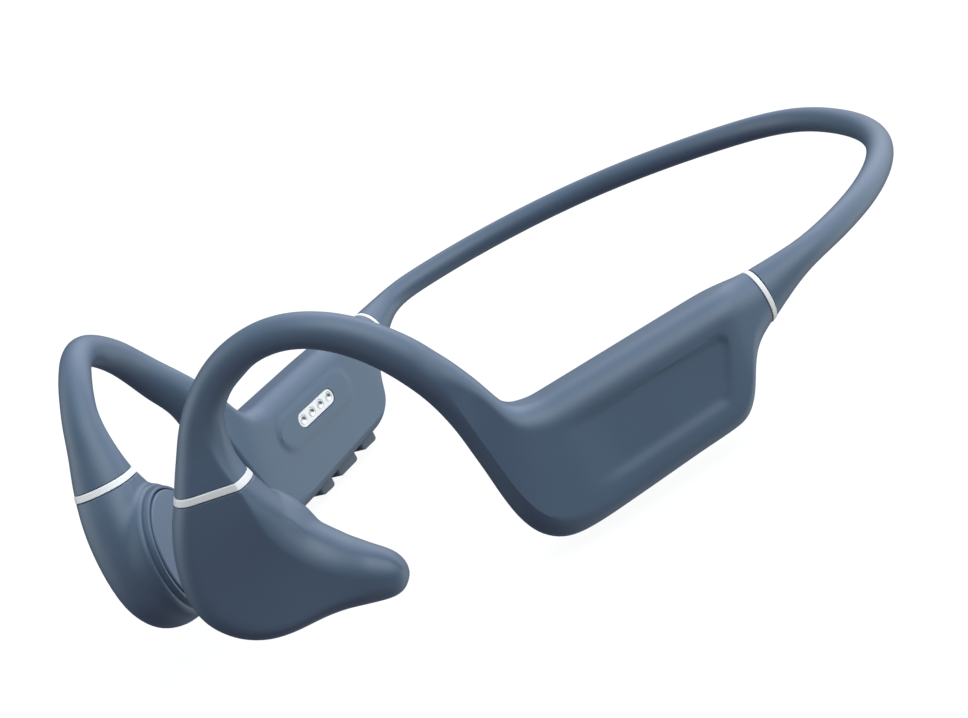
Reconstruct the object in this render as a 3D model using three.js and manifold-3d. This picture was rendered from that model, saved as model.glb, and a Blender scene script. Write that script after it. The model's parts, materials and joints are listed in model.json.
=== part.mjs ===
// Open-ear bone conduction headset: a neckband behind the head, two ear hooks and two
// vibrating pods in front of the ears. Millimetres. +X wearer's left, -Y wearer's forward,
// +Z up. The drawing's zero is on the centre line of the neckband tube at the back of the neck,
// and the finished model stands on its lowest point with its middle over the origin.
// Every side is drawn for the left and mirrored in x = 0 for the right.
// Side parts use w, n, z: w rearwards along a curved upright sheet, n outwards from it, z up.
import * as THREE from 'three';
import { mergeVertices } from 'three/addons/utils/BufferGeometryUtils.js';
import Module from 'manifold-3d';

const wasm = await Module();
wasm.setup();

// ---------- driving dimensions ----------
const LIFT = [0, 67.6349, 17.489];   // from the drawing's zero to the model's origin

// Side sheet, seen from above: straight through the pod, a bend over the temple,
// straight through the electronics box. Angles are from straight back towards the side.
const SHEET_START = { x: 16.3, y: -128.9 };   // w = 0
const POD_ANGLE = 42.0 * Math.PI / 180;
const BOX_ANGLE = 18.9 * Math.PI / 180;
const BEND_START = 18;
const BEND_END = 37;

// Neckband, wire and cable
const TUBE_RADIUS = 2.0;
const BORE_RADIUS = 1.45;      // hollow of the neckband tube and of the ear hook
const BORE_CLEARANCE = 0.1;    // extra radius of the hollow through rings and casing
const WIRE_RADIUS = 0.5;       // spring wire
const CABLE_RADIUS = 0.55;     // signal cable
const WIRE_OFFSET = 0.62;      // wire and cable lie side by side in the hollow
const CABLE_OFFSET = -0.6;
const MID_GAP = 0.2;           // half of the split at the middle of the neckband
const WIRE_START_X = 0.35;

// Electronics box and casing
const SKIN_WALL = 1.0;         // soft skin over the casing
const CASE_WALL = 0.9;
const CASE_INSET = SKIN_WALL + 0.3;   // casing surface below the skin surface
const CASE_SPLIT = 0.3;        // joint line between casing halves
const BOX_TOP = 2.5;
const UNDERSIDE = { frontW: 45.4, frontZ: -16.05, rearW: 67.3, rearZ: -15.0 };

// Control side
const CHARGER = { w: 52.6, n: -4.95, z: -4.1 };   // centre and face of the raised oval
const INSERT_SIZE = [10.1, 2.6];
const INSERT_HOLE_MARGIN = 0.5;
const CONTACT_COUNT = 4;
const CONTACT_PITCH = 2.54;
const CONTACT_RADIUS = 0.75;
const MAGNET_OFFSET = 7.0;     // holding magnets, each way from the charger's centre
const BUTTONS = [              // name, front end w, rear end w
  ['volume_up', 60.9, 66.4], ['play', 52.9, 60.0], ['volume_down', 47.2, 52.4],
];
const BUTTON_WIDTH = 4.2;
const BUTTON_PROUD = 1.65;
const BUTTON_ROOT_Z = -13.9;
const BUTTON_BEVEL = 0.6;      // height of the bevel at each end

// Pod
const POD_CENTRE = { w: -1.1, z: -0.6 };   // centre of the transducer on the side sheet
const POD_BORE = 8.8;          // transducer chamber radius
const PAD_RADIUS = 8.5;
const PAD_FACE = -7.15;        // contact face, inwards from the side sheet

// Centre line of the left half of the neckband, back of the neck to the flare: x, y.
const BAND = [
  [0, 0], [4.6, -0.32], [9.3, -1.35], [14.3, -2.95], [19.4, -4.95], [25.3, -7.75],
  [31.7, -11.6], [37.9, -16.6], [43, -22.3], [46.6, -27.6], [49, -32.1], [50.7, -36],
  [51.85, -39.6], [52.7, -42.8], [53.3, -45.9], [53.75, -48.9],
];

// ---------- side stations ----------
// Each section spans between two rails drawn on the sheet. The far rail follows the top of the
// box, the outside of the hook's arch, then the front and underside of the pod. The near rail
// follows the underside of the box, the inside of the arch, then the rear of the pod.
// A row is: far w, far z, near w, near z, form. A form holds the outer and inner half thickness
// and the corners, each [size along the section, size across it, sharpness].
const free = (outer, inner, farOuter, farInner, nearOuter, nearInner) => (
  { outer, inner, corners: [farOuter, farInner, nearInner, nearOuter] });
const paired = (outer, inner, far, near) => free(outer, inner, far, far, near, near);
const even = (half, corner) => paired(half, half, corner, corner);
// Fully rounded, its middle shifted outwards.
const shifted = (half, shift) => ({ outer: half + shift, inner: half - shift, corners: [] });
const boxed = (half, far, near) => (
  free(half, half - 0.55, [far, far], [far, far], [near, near], [near + 0.5, near + 0.5]));
const stations = (rows) => rows.map(([farW, farZ, nearW, nearZ, form]) => (
  { far: [farW, farZ], near: [nearW, nearZ], ...form }));

function undersideAt(w) {
  const { frontW, frontZ, rearW, rearZ } = UNDERSIDE;
  return frontZ + (rearZ - frontZ) * (w - frontW) / (rearW - frontW);
}

// Rear end of the box, over the ear, to the front ring.
const SIDE = stations([
  [77.7, 2.1, 77.9, -5.75, even(3.5, [3.9, 3.5])],
  [76.0, 2.25, 76.0, -6.6, even(3.95, [3.9, 3.8])],
  [74.6, 2.35, 74.05, -7.8, even(4.35, [3.8, 3.8])],
  [73.3, BOX_TOP, 72.5, -9.4, boxed(4.7, 3.5, 3.3)],
  [72.2, BOX_TOP, 71.3, -11.3, boxed(4.95, 3.4, 3.1)],
  [71.0, BOX_TOP, 70.2, -13.05, boxed(5.05, 3.3, 2.9)],
  [69.6, BOX_TOP, 68.75, -14.4, boxed(5.1, 3.3, 2.7)],
  [68.0, BOX_TOP, UNDERSIDE.rearW, UNDERSIDE.rearZ, boxed(5.1, 3.3, 2.6)],
  [60.0, BOX_TOP, 60.0, undersideAt(60.0), boxed(5.1, 3.3, 2.6)],
  [46.5, BOX_TOP, UNDERSIDE.frontW, UNDERSIDE.frontZ, boxed(5.1, 3.3, 2.6)],
  [44.2, 2.5, 42.3, -16.1, boxed(5.1, 3.2, 2.7)],
  [42.7, 2.8, 39.65, -16.0, paired(5.1, 4.55, [3.1, 3.2], [3.0, 3.2])],
  [41.4, 3.2, 37.4, -15.05, paired(5.1, 4.5, [3.0, 3.2], [3.3, 3.8])],
  [40.4, 4.0, 35.7, -13.1, paired(5.05, 4.45, [3.0, 3.2], [3.5, 4.2])],
  [39.5, 5.3, 34.7, -10.25, paired(4.9, 4.3, [2.9, 3.2], [3.6, 4.4])],
  [38.8, 7.1, 34.15, -7.05, paired(4.65, 4.05, [2.8, 3.2], [3.5, 4.4])],
  [38.1, 9.1, 33.8, -3.6, paired(4.3, 3.75, [2.7, 3.2], [3.4, 4.2])],
  [37.2, 11.2, 33.3, 0.4, paired(3.95, 3.4, [2.8, 3.2], [3.4, 3.8])],
  [36.2, 13.3, 32.7, 4.6, paired(4.0, 2.85, [3.0, 3.2], [3.4, 3.5])],
  [35.0, 15.5, 31.6, 8.9, paired(4.0, 2.35, [3.6, 3.2], [3.6, 3.2])],
  [33.5, 18.2, 30.0, 13.0, shifted(3.05, 1.8)],
  [31.35, 21.25, 27.8, 17.1, shifted(2.75, 2.05)],
  [28.5, 24.4, 25.2, 20.5, shifted(2.6, 1.9)],
  [25.2, 27.05, 22.1, 23.3, shifted(2.5, 1.95)],
  [21.45, 28.88, 19.15, 24.65, shifted(2.42, 1.7)],
  [17.6, 29.6, 16.5, 24.95, shifted(2.4, 1.3)],
  [13.8, 29.35, 14.0, 24.65, shifted(2.4, 0.9)],
  [10.35, 28.45, 11.85, 23.75, shifted(2.42, 0.5)],
  [7.1, 26.9, 9.8, 22.8, shifted(2.5, 0.2)],
  [4.35, 24.9, 8.15, 21.5, shifted(2.6, 0.05)],
  [1.95, 22.6, 6.95, 20.15, free(2.75, 2.8, [2.7, 2.8], [2.7, 2.8], [2.5, 2.8, 0.10], [2.7, 2.8])],
  [0.0, 20.2, 6.15, 18.3, free(2.9, 3.25, [3.0, 3.2], [3.1, 3.2], [2.3, 3.2, 0.20], [3.1, 3.2])],
  [-1.7, 17.6, 5.7, 16.3, free(3.2, 3.75, [3.2, 3.5], [3.5, 3.7], [1.8, 3.5, 0.28], [3.5, 3.7])],
  [-3.3, 15.15, 5.55, 14.2, free(3.6, 4.25, [3.3, 3.9], [3.9, 4.2], [1.4, 3.8, 0.34], [4.0, 4.2])],
  [-4.44, 13.21, 5.87, 12.05,
    free(3.88, 4.55, [3.3, 4.1], [4.1, 4.5], [1.2, 3.8, 0.36], [4.3, 4.5])],
]);
const RING_FRONT = stations([
  [-4.52, 13.08, 5.91, 11.92,
    free(3.98, 4.65, [3.3, 4.1], [4.1, 4.5], [1.2, 3.8, 0.36], [4.3, 4.3])],
  [-5.09, 12.16, 6.12, 10.86,
    free(4.08, 4.75, [3.4, 4.3], [4.1, 4.4], [1.3, 3.8, 0.36], [4.3, 4.2])],
]);
// Front ring to the snout, which points rearwards and down.
const POD = stations([
  [-5.16, 12.05, 6.14, 10.74,
    free(4.05, 4.75, [3.5, 4.3], [4.0, 4.2], [1.3, 3.8, 0.36], [4.2, 4.3])],
  [-7.0, 9.4, 6.5, 9.1, free(4.1, 4.95, [3.9, 4.6], [3.8, 3.9], [1.6, 3.9, 0.34], [3.8, 3.9])],
  [-8.5, 6.5, 6.95, 7.55, free(4.1, 5.05, [4.3, 4.9], [3.4, 3.5], [2.1, 4.1, 0.32], [3.4, 3.6])],
  [-9.75, 3.3, 7.55, 5.85, free(3.95, 5.2, [4.6, 5.2], [3.1, 3.1], [2.7, 4.3, 0.30], [3.2, 3.3])],
  [-10.6, -0.4, 8.1, 4.1, free(3.7, 5.3, [4.8, 5.4], [2.9, 2.9], [3.1, 4.4, 0.28], [3.1, 3.1])],
  [-10.5, -4.4, 8.85, 2.55, free(3.4, 5.4, [4.9, 5.4], [2.9, 2.9], [3.4, 4.4, 0.26], [3.1, 3.1])],
  [-9.0, -7.5, 9.65, 1.15, free(3.2, 5.5, [4.8, 5.4], [3.0, 2.9], [3.6, 4.4, 0.24], [3.1, 3.1])],
  [-6.5, -9.85, 10.5, 0.0, free(3.1, 5.55, [4.6, 5.3], [3.0, 2.9], [3.7, 4.4, 0.22], [3.2, 3.1])],
  [-3.1, -11.25, 11.4, -1.1, free(3.15, 5.5, [4.3, 5.2], [3.1, 3.0], [3.7, 4.3, 0.20], [3.2, 3.1])],
  [0.8, -11.5, 12.35, -2.1, free(3.3, 5.1, [4.0, 4.9], [3.2, 3.1], [3.6, 4.3, 0.16], [3.3, 3.2])],
  [4.8, -11.2, 13.35, -2.95, free(3.5, 4.5, [3.8, 4.6], [3.3, 3.2], [3.5, 4.2, 0.12], [3.3, 3.2])],
  [8.2, -11.15, 14.4, -3.65, free(3.75, 3.9, [3.5, 4.2], [3.3, 3.2], [3.4, 4.0, 0.08], [3.3, 3.2])],
  [11.0, -11.55, 15.5, -4.45,
    free(3.95, 3.25, [3.4, 3.9], [3.3, 3.2], [3.4, 3.8, 0.04], [3.3, 3.2])],
  [13.4, -12.05, 16.55, -5.4, free(3.65, 3.0, [3.3, 3.5], [3.3, 3.0], [3.3, 3.5], [3.3, 3.0])],
  [15.5, -12.1, 17.5, -6.6, free(3.15, 2.55, [2.6, 2.9], [2.6, 2.55], [2.6, 2.9], [2.6, 2.55])],
  [17.15, -11.45, 18.2, -8.0, free(2.2, 1.65, [1.6, 1.95], [1.6, 1.65], [1.6, 1.95], [1.6, 1.65])],
  [18.15, -10.45, 18.5, -9.15, free(1.0, 0.6, [0.55, 0.75], [0.55, 0.6], [0.55, 0.75], [0.55, 0.6])],
]);
const SNOUT_TIP = [18.6, 0.2, -9.75];   // w, n, z
// Round skirt behind the pad: centre w, centre z, radius, n.
const SKIRT = [
  [-0.3, -0.6, 9.6, 1.5], [-0.2, -0.65, 10.3, -2.0], [-0.35, -0.7, 10.4, -4.0],
  [-0.8, -0.75, 10.15, -5.2], [-1.05, -0.62, 9.75, -5.75], [-1.1, -0.6, 9.45, -5.9],
];
const RING_REAR = stations([
  [77.84, 2.1, 78.04, -5.8, even(3.58, [3.95, 3.58])],
  [78.62, 2.08, 78.82, -5.55, even(3.46, [3.8, 3.46])],
]);
// Rear ring back to the neckband tube.
const FLARE = stations([
  [78.74, 2.0, 78.96, -5.45, even(3.36, [3.7, 3.36])],
  [80.3, 2.0, 80.5, -4.75, even(3.1, [3.37, 3.1])],
  [82.2, 2.0, 82.4, -3.8, even(2.75, [2.9, 2.75])],
  [84.1, 2.0, 84.2, -2.85, even(2.4, [2.42, 2.4])],
  [85.9, 2.0, 85.9, -2.2, even(2.12, [2.1, 2.12])],
]);

// ---------- materials ----------
const material = (look) => new THREE.MeshStandardMaterial(look);
const MATERIALS = {
  skin: material({ color: 0x5f7389, roughness: 0.55 }),
  ring: material({ color: 0xf2f2f0, roughness: 0.4 }),
  pad: material({ color: 0x7486a3, roughness: 0.6 }),
  casing: material({ color: 0x2b2f36, roughness: 0.6 }),
  wire: material({ color: 0xb8bcc2, roughness: 0.3, metalness: 1 }),
  cable: material({ color: 0x1c1c1e, roughness: 0.7 }),
  steel: material({ color: 0xa8adb3, roughness: 0.35, metalness: 1 }),
  copper: material({ color: 0xb87333, roughness: 0.35, metalness: 1 }),
  magnet: material({ color: 0xc9ccd0, roughness: 0.25, metalness: 1 }),
  cell: material({ color: 0xd0d3d8, roughness: 0.35, metalness: 0.6 }),
  board: material({ color: 0x1f5b3a, roughness: 0.5 }),
  can: material({ color: 0xbfc3c8, roughness: 0.3, metalness: 1 }),
  button: material({ color: 0x2e3440, roughness: 0.5 }),
  plastic: material({ color: 0xf0f0ee, roughness: 0.4 }),
  contact: material({ color: 0xc8c8cc, roughness: 0.25, metalness: 1 }),
};

// ---------- side sheet ----------
function sheetAt(w) {
  const alongStart = (distance) => ({
    x: SHEET_START.x + Math.sin(POD_ANGLE) * distance,
    y: SHEET_START.y + Math.cos(POD_ANGLE) * distance,
    angle: POD_ANGLE,
  });
  if (w <= BEND_START) return alongStart(w);
  const bend = alongStart(BEND_START);
  const turnRate = (BOX_ANGLE - POD_ANGLE) / (BEND_END - BEND_START);
  const angle = POD_ANGLE + turnRate * (Math.min(w, BEND_END) - BEND_START);
  const beyond = Math.max(0, w - BEND_END);
  return {
    x: bend.x + (Math.cos(POD_ANGLE) - Math.cos(angle)) / turnRate + beyond * Math.sin(BOX_ANGLE),
    y: bend.y + (Math.sin(angle) - Math.sin(POD_ANGLE)) / turnRate + beyond * Math.cos(BOX_ANGLE),
    angle,
  };
}

function onSheet(w, n, z) {
  const { x, y, angle } = sheetAt(w);
  return [x + n * Math.cos(angle), y - n * Math.sin(angle), z];
}

// ---------- sections and lofts ----------
// The four corners in the order a section is walked: end along it, side across it.
const CORNER_WALK = [[1, 1], [1, -1], [-1, -1], [-1, 1]];
const MIN_CORNER = 0.35;
const TWIN_DISTANCE = 0.02;
const TWIN_SPREAD = 0.12;

// Thin sections share a point where two corners meet, so such twins are spread apart.
function spreadTwins(points) {
  const count = points.length;
  const towards = (from, to) => from.map((value, k) => value + (to[k] - value) * TWIN_SPREAD);
  for (let j = 0; j < count; j++) {
    const next = (j + 1) % count;
    const [x, y] = points[j];
    const [nextX, nextY] = points[next];
    if (Math.hypot(x - nextX, y - nextY) >= TWIN_DISTANCE) continue;
    const before = points[(j + count - 1) % count];
    const after = points[(j + 2) % count];
    const middle = [(x + nextX) / 2, (y + nextY) / 2];
    points[j] = towards(middle, before);
    points[next] = towards(middle, after);
  }
}

// Points of a rational quadratic corner, a quarter ellipse when the control is square.
function conic(start, control, end, steps) {
  const points = [];
  for (let j = 0; j <= steps; j++) {
    const t = j / steps;
    const weights = [(1 - t) ** 2, 2 * Math.SQRT1_2 * t * (1 - t), t * t];
    const total = weights[0] + weights[1] + weights[2];
    points.push([0, 1].map((k) => (
      (weights[0] * start[k] + weights[1] * control[k] + weights[2] * end[k]) / total)));
  }
  return points;
}

// One cross-section: a quadrilateral from the near to the far rail with four conic corners.
function section({ far, near, outer, inner, corners }, inset, cornerSteps) {
  const span = Math.hypot(far[0] - near[0], far[1] - near[1]);
  const direction = [(far[0] - near[0]) / span, (far[1] - near[1]) / span];
  const start = [near[0] + direction[0] * inset, near[1] + direction[1] * inset];
  const length = span - 2 * inset;
  const outerFace = outer - inset;
  const innerFace = inner - inset;
  const thickness = outerFace + innerFace;
  const sizes = CORNER_WALK.map((_, k) => {
    const [along, across, sharpness = 0] = corners[k] ?? [span / 2, (outer + inner) / 2];
    return {
      along: Math.min(length / 2, Math.max(along - inset, MIN_CORNER)),
      across: Math.max(across - inset, MIN_CORNER),
      sharpness,
    };
  });
  const fit = (one, other) => Math.min(1, thickness / (one.across + other.across));
  const farFit = fit(sizes[0], sizes[1]);
  const nearFit = fit(sizes[2], sizes[3]);
  const points = CORNER_WALK.flatMap(([end, side], k) => {
    const { along, across, sharpness } = sizes[k];
    const depth = across * (end > 0 ? farFit : nearFit);
    const cornerS = end > 0 ? length : 0;
    const cornerN = side > 0 ? outerFace : -innerFace;
    const list = conic([cornerS - end * along, cornerN],
      [cornerS, cornerN - side * sharpness * depth],
      [cornerS, cornerN - side * depth], cornerSteps);
    return end === side ? list : list.reverse();
  });
  spreadTwins(points);
  return points.map(([s, n]) => (
    onSheet(start[0] + direction[0] * s, n, start[1] + direction[1] * s)));
}

// Skin through equal rings, closed at each end by a fan to its middle or to a given tip.
function loft(rings, tip = null) {
  const size = rings[0].length;
  const positions = rings.flat(2);
  const index = [];
  for (let r = 0; r + 1 < rings.length; r++) {
    for (let j = 0; j < size; j++) {
      const here = r * size + j;
      const next = r * size + (j + 1) % size;
      index.push(here, next, next + size, here, next + size, here + size);
    }
  }
  const cap = (r, flip, point) => {
    const middle = (sum, corner) => sum.map((value, k) => value + corner[k] / size);
    positions.push(...(point ?? rings[r].reduce(middle, [0, 0, 0])));
    const hub = positions.length / 3 - 1;
    for (let j = 0; j < size; j++) {
      const here = r * size + j;
      const next = r * size + (j + 1) % size;
      index.push(hub, ...(flip ? [next, here] : [here, next]));
    }
  };
  cap(0, true, null);
  cap(rings.length - 1, false, tip);
  const geometry = new THREE.BufferGeometry();
  geometry.setAttribute('position', new THREE.Float32BufferAttribute(positions, 3));
  geometry.setIndex(index);
  return geometry;
}

const sideLoft = (list, inset = 0, cornerSteps = 2, tip = null) => (
  loft(list.map((station) => section(station, inset, cornerSteps)), tip));

// ---------- meshes and solids ----------
function isInsideOut({ index, attributes }) {
  const corners = [new THREE.Vector3(), new THREE.Vector3(), new THREE.Vector3()];
  let volume = 0;
  for (let i = 0; i < index.count; i += 3) {
    corners.forEach((corner, k) => {
      corner.fromBufferAttribute(attributes.position, index.getX(i + k));
    });
    volume += corners[1].cross(corners[2]).dot(corners[0]);
  }
  return volume < 0;
}

// Positions only, welded, and facing outwards.
function tidy(source) {
  const bare = source.clone();
  bare.deleteAttribute('normal');
  bare.deleteAttribute('uv');
  const geometry = mergeVertices(bare, 1e-4);
  if (isInsideOut(geometry)) {
    const order = geometry.index.array;
    for (let i = 0; i < order.length; i += 3) {
      [order[i], order[i + 1]] = [order[i + 1], order[i]];
    }
  }
  return geometry;
}

function solid(source) {
  const geometry = tidy(source);
  return new wasm.Manifold(new wasm.Mesh({
    numProp: 3,
    vertProperties: new Float32Array(geometry.attributes.position.array),
    triVerts: new Uint32Array(geometry.index.array),
  }));
}

// Geometry of the largest body, so a shaving left by a cut doesn't stay in the piece.
function geometryOf(body) {
  const bodies = body.decompose();
  const largest = bodies.length < 2 ? body : bodies.sort((a, b) => b.volume() - a.volume())[0];
  const mesh = largest.getMesh();
  const geometry = new THREE.BufferGeometry();
  const positions = new Float32Array(mesh.vertProperties);
  geometry.setAttribute('position', new THREE.BufferAttribute(positions, 3));
  geometry.setIndex(new THREE.BufferAttribute(new Uint32Array(mesh.triVerts), 1));
  return geometry;
}

const cutAll = (body, cutters) => cutters.reduce((rest, cutter) => rest.subtract(cutter), body);
const mirrored = (geometry) => (
  tidy(geometry.clone().applyMatrix4(new THREE.Matrix4().makeScale(-1, 1, 1))));

// ---------- basic shapes ----------
// A round tube along points, offset along the direction given by across(point, tangent).
function tube(points, across, { radius, offset = 0, sides, steps }) {
  const path = points.map((point) => new THREE.Vector3(...point));
  const curve = new THREE.CatmullRomCurve3(path, false, 'centripetal');
  const rings = [];
  for (let s = 0; s <= steps; s++) {
    const centre = curve.getPointAt(s / steps);
    const tangent = curve.getTangentAt(s / steps).normalize();
    const side = across(centre, tangent);
    side.addScaledVector(tangent, -side.dot(tangent)).normalize();
    const up = new THREE.Vector3().crossVectors(side, tangent);
    const ring = [];
    for (let j = 0; j < sides; j++) {
      const angle = 2 * Math.PI * (j + 0.5) / sides;
      ring.push(centre.clone()
        .addScaledVector(side, offset + radius * Math.cos(angle))
        .addScaledVector(up, radius * Math.sin(angle)).toArray());
    }
    rings.push(ring);
  }
  return loft(rings);
}

// A turned piece on the local y axis; profile rows are radius, y.
const turned = (profile, segments) => (
  new THREE.LatheGeometry(profile.map((point) => new THREE.Vector2(...point)), segments));
// A cylinder on the local z axis.
const rod = (radius, length, sides) => (
  new THREE.CylinderGeometry(radius, radius, length, sides).rotateX(Math.PI / 2));
const extruded = (shape, depth, options = {}) => (
  new THREE.ExtrudeGeometry(shape, { depth, bevelEnabled: false, curveSegments: 3, ...options }));

// Rectangle with rounded corners; fully round ends by default.
function roundedShape(length, width, radius = width / 2) {
  const shape = new THREE.Shape();
  const endX = length / 2;
  const endY = width / 2;
  const arcX = endX - radius;
  const arcY = endY - radius;
  const hasFlatEnds = endY > radius + 1e-6;
  shape.moveTo(-arcX, -endY);
  shape.lineTo(arcX, -endY);
  shape.absarc(arcX, -arcY, radius, -Math.PI / 2, 0);
  if (hasFlatEnds) shape.lineTo(endX, arcY);
  shape.absarc(arcX, arcY, radius, 0, Math.PI / 2);
  shape.lineTo(-arcX, endY);
  shape.absarc(-arcX, arcY, radius, Math.PI / 2, Math.PI);
  if (hasFlatEnds) shape.lineTo(-endX, -arcY);
  shape.absarc(-arcX, -arcY, radius, Math.PI, 1.5 * Math.PI);
  return shape;
}

// Straight frame of the electronics box, in line with the rear of the sheet.
const BOX_W = new THREE.Vector3(Math.sin(BOX_ANGLE), Math.cos(BOX_ANGLE), 0);
const BOX_N = new THREE.Vector3(Math.cos(BOX_ANGLE), -Math.sin(BOX_ANGLE), 0);
const BOX_Z = new THREE.Vector3(0, 0, 1);
function placed(geometry, axes, w, n, z) {
  const position = new THREE.Vector3(...onSheet(BEND_END, 0, 0))
    .addScaledVector(BOX_W, w - BEND_END)
    .addScaledVector(BOX_N, n)
    .addScaledVector(BOX_Z, z);
  const frame = new THREE.Matrix4().makeBasis(...axes).setPosition(position);
  return tidy(geometry.clone().applyMatrix4(frame));
}
// Upright: local x, y, z become w, n, z. Facing out: they become w, z, n.
const upright = (geometry, w, n, z) => placed(geometry, [BOX_W, BOX_N, BOX_Z], w, n, z);
const facingOut = (geometry, w, n, z) => placed(geometry, [BOX_W, BOX_Z, BOX_N], w, n, z);
function block(...ranges) {
  const box = new THREE.BoxGeometry(...ranges.map(([low, high]) => high - low));
  return upright(box, ...ranges.map(([low, high]) => (low + high) / 2));
}

// ---------- model tree ----------
const root = new THREE.Group();
root.position.set(...LIFT);
function put(name, geometry, look, parent = root) {
  const mesh = new THREE.Mesh(tidy(geometry), look);
  mesh.name = name;
  parent.add(mesh);
}
const putRight = (name, geometry, look) => put(name, mirrored(geometry), look);
function putBoth(stem, geometry, look) {
  put(`${stem}_left`, geometry, look);
  putRight(`${stem}_right`, geometry, look);
}

// ---------- centre lines of the hollow ----------
const betweenRails = ({ far, near }, share = 0.5) => (
  [near[0] + share * (far[0] - near[0]), near[1] + share * (far[1] - near[1])]);

// SIDE station number and share of the way from its near to its far rail.
const HOOK_STATIONS = [[14, 0.62], [16, 0.6], [18, 0.56]];
for (let k = 19; k < SIDE.length; k++) HOOK_STATIONS.push([k, 0.5]);
const hookMiddle = [
  onSheet(41.0, 0, -2.6),
  ...HOOK_STATIONS.map(([k, share]) => {
    const [w, z] = betweenRails(SIDE[k], share);
    return onSheet(w, (SIDE[k].outer - SIDE[k].inner) / 2, z);
  }),
  onSheet(0.2, 0, 9.4),
];
const hookBoreLine = [
  onSheet(43.0, 0, -3.4), ...hookMiddle, onSheet(-0.2, 0, 7.6), onSheet(-0.4, 0, 5.5),
];
const hookWireLine = [onSheet(42.6, 0, -3.4), ...hookMiddle, onSheet(-0.2, 0, 7.4)];

const bandPoints = BAND.map(([x, y]) => [x, y, 0]);
const flareFromBand = FLARE.toReversed();
const bandMiddle = [
  ...bandPoints.slice(1),
  ...flareFromBand.map((station) => {
    const [w, z] = betweenRails(station);
    return onSheet(w, 0, z);
  }),
  onSheet(77.0, 0, -1.9),
];
const bandBoreLine = [
  [-3, 0.3, 0], ...bandMiddle, onSheet(73.0, 0, -2.6), onSheet(70.0, 0, -3.0),
];
const bandWireLine = [[WIRE_START_X, 0, 0], ...bandMiddle, onSheet(74.0, 0, -2.4)];

// Sideways directions for tubes: level for the band, square to the nearest sheet for the hook.
const acrossBand = (point, tangent) => new THREE.Vector3(tangent.y, -tangent.x, 0);
function acrossSheet(point) {
  let nearest = Infinity;
  let angle = POD_ANGLE;
  for (let w = -14; w < 88; w++) {
    const here = sheetAt(w);
    const distance = Math.hypot(here.x - point.x, here.y - point.y);
    if (distance < nearest) {
      nearest = distance;
      angle = here.angle;
    }
  }
  return new THREE.Vector3(Math.cos(angle), -Math.sin(angle), 0);
}

const WIDE_RADIUS = BORE_RADIUS + BORE_CLEARANCE;
const hookTube = (radius, sides) => (
  solid(tube(hookBoreLine, acrossSheet, { radius, sides, steps: 20 })));
const bandTube = (radius) => (
  solid(tube(bandBoreLine, acrossBand, { radius, sides: 7, steps: 20 })));
const hookBore = hookTube(BORE_RADIUS, 8);
const hookBoreWide = hookTube(WIDE_RADIUS, 6);
const bandBore = bandTube(BORE_RADIUS);
const bandBoreWide = bandTube(WIDE_RADIUS);

function putWireAndCable(stem, line, across) {
  const run = (radius, offset) => tube(line, across, { radius, offset, sides: 5, steps: 17 });
  putBoth(`${stem}_wire`, run(WIRE_RADIUS, WIRE_OFFSET), MATERIALS.wire);
  putBoth(`${stem}_cable`, run(CABLE_RADIUS, CABLE_OFFSET), MATERIALS.cable);
}

// ---------- neckband ----------
const BAND_STEPS = 16;
const QUADRANT_SHARES = [0.06, 0.5, 0.94];   // tube points, as shares of each quarter turn

function bandRing(centre, tangent) {
  return CORNER_WALK.flatMap(([end, side]) => {
    const quadrant = QUADRANT_SHARES.map((share) => {
      const angle = share * Math.PI / 2;
      const up = end * TUBE_RADIUS * Math.sin(angle);
      const out = side * TUBE_RADIUS * Math.cos(angle);   // away from the wearer
      return [centre.x - tangent.y * out, centre.y + tangent.x * out, centre.z + up];
    });
    return end === side ? quadrant : quadrant.reverse();
  });
}

function neckbandSleeve() {
  const path = bandPoints.map((point) => new THREE.Vector3(...point));
  const curve = new THREE.CatmullRomCurve3(path, false, 'centripetal');
  const rings = [bandRing(new THREE.Vector3(MID_GAP, 0, 0), new THREE.Vector3(1, 0, 0))];
  for (let s = 1; s <= BAND_STEPS; s++) {
    rings.push(bandRing(curve.getPointAt(s / BAND_STEPS), curve.getTangentAt(s / BAND_STEPS)));
  }
  rings.push(...flareFromBand.map((station) => section(station, 0, 2)));
  return geometryOf(solid(loft(rings)).subtract(bandBore));
}

putBoth('neckband_sleeve', neckbandSleeve(), MATERIALS.skin);
putWireAndCable('neckband', bandWireLine, acrossBand);

// ---------- trim rings ----------
const trimRing = (list, bore) => geometryOf(solid(sideLoft(list)).subtract(bore));
putBoth('rear_ring', trimRing(RING_REAR, bandBoreWide), MATERIALS.ring);
putBoth('front_ring', trimRing(RING_FRONT, hookBoreWide), MATERIALS.ring);

// ---------- control side cutters ----------
const insertHole = solid(facingOut(
  extruded(roundedShape(...INSERT_SIZE.map((size) => size + INSERT_HOLE_MARGIN)), 4.0),
  CHARGER.w, CHARGER.n - 0.7, CHARGER.z));
const buttonSlots = BUTTONS.map(([, front, rear]) => solid(upright(
  extruded(roundedShape(rear - front + 0.5, BUTTON_WIDTH + 0.5, 1.5), 4.0),
  (front + rear) / 2, 0, -16.9)));
const microphonePort = solid(upright(rod(0.45, 4, 8), 44.6, 0.4, -15.0));

// ---------- side skins: ear hook and box cover in one moulding ----------
// Shallow recess in the outer wall of the box: w, z.
const RECESS = [
  [44.1, -1.7], [69.4, -2.2], [70.0, -3.2], [66.9, -10.2], [65.4, -10.9], [44.1, -11.6],
];

function sideSkin() {
  const recess = new THREE.Shape(RECESS.map((point) => new THREE.Vector2(...point)));
  return cutAll(solid(sideLoft(SIDE)), [
    solid(sideLoft(SIDE.slice(1, 18), SKIN_WALL, 1)),
    hookBore,
    bandBore,
    solid(facingOut(extruded(recess, 1.0), 0, 4.85, 0)),
  ]);
}

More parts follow.
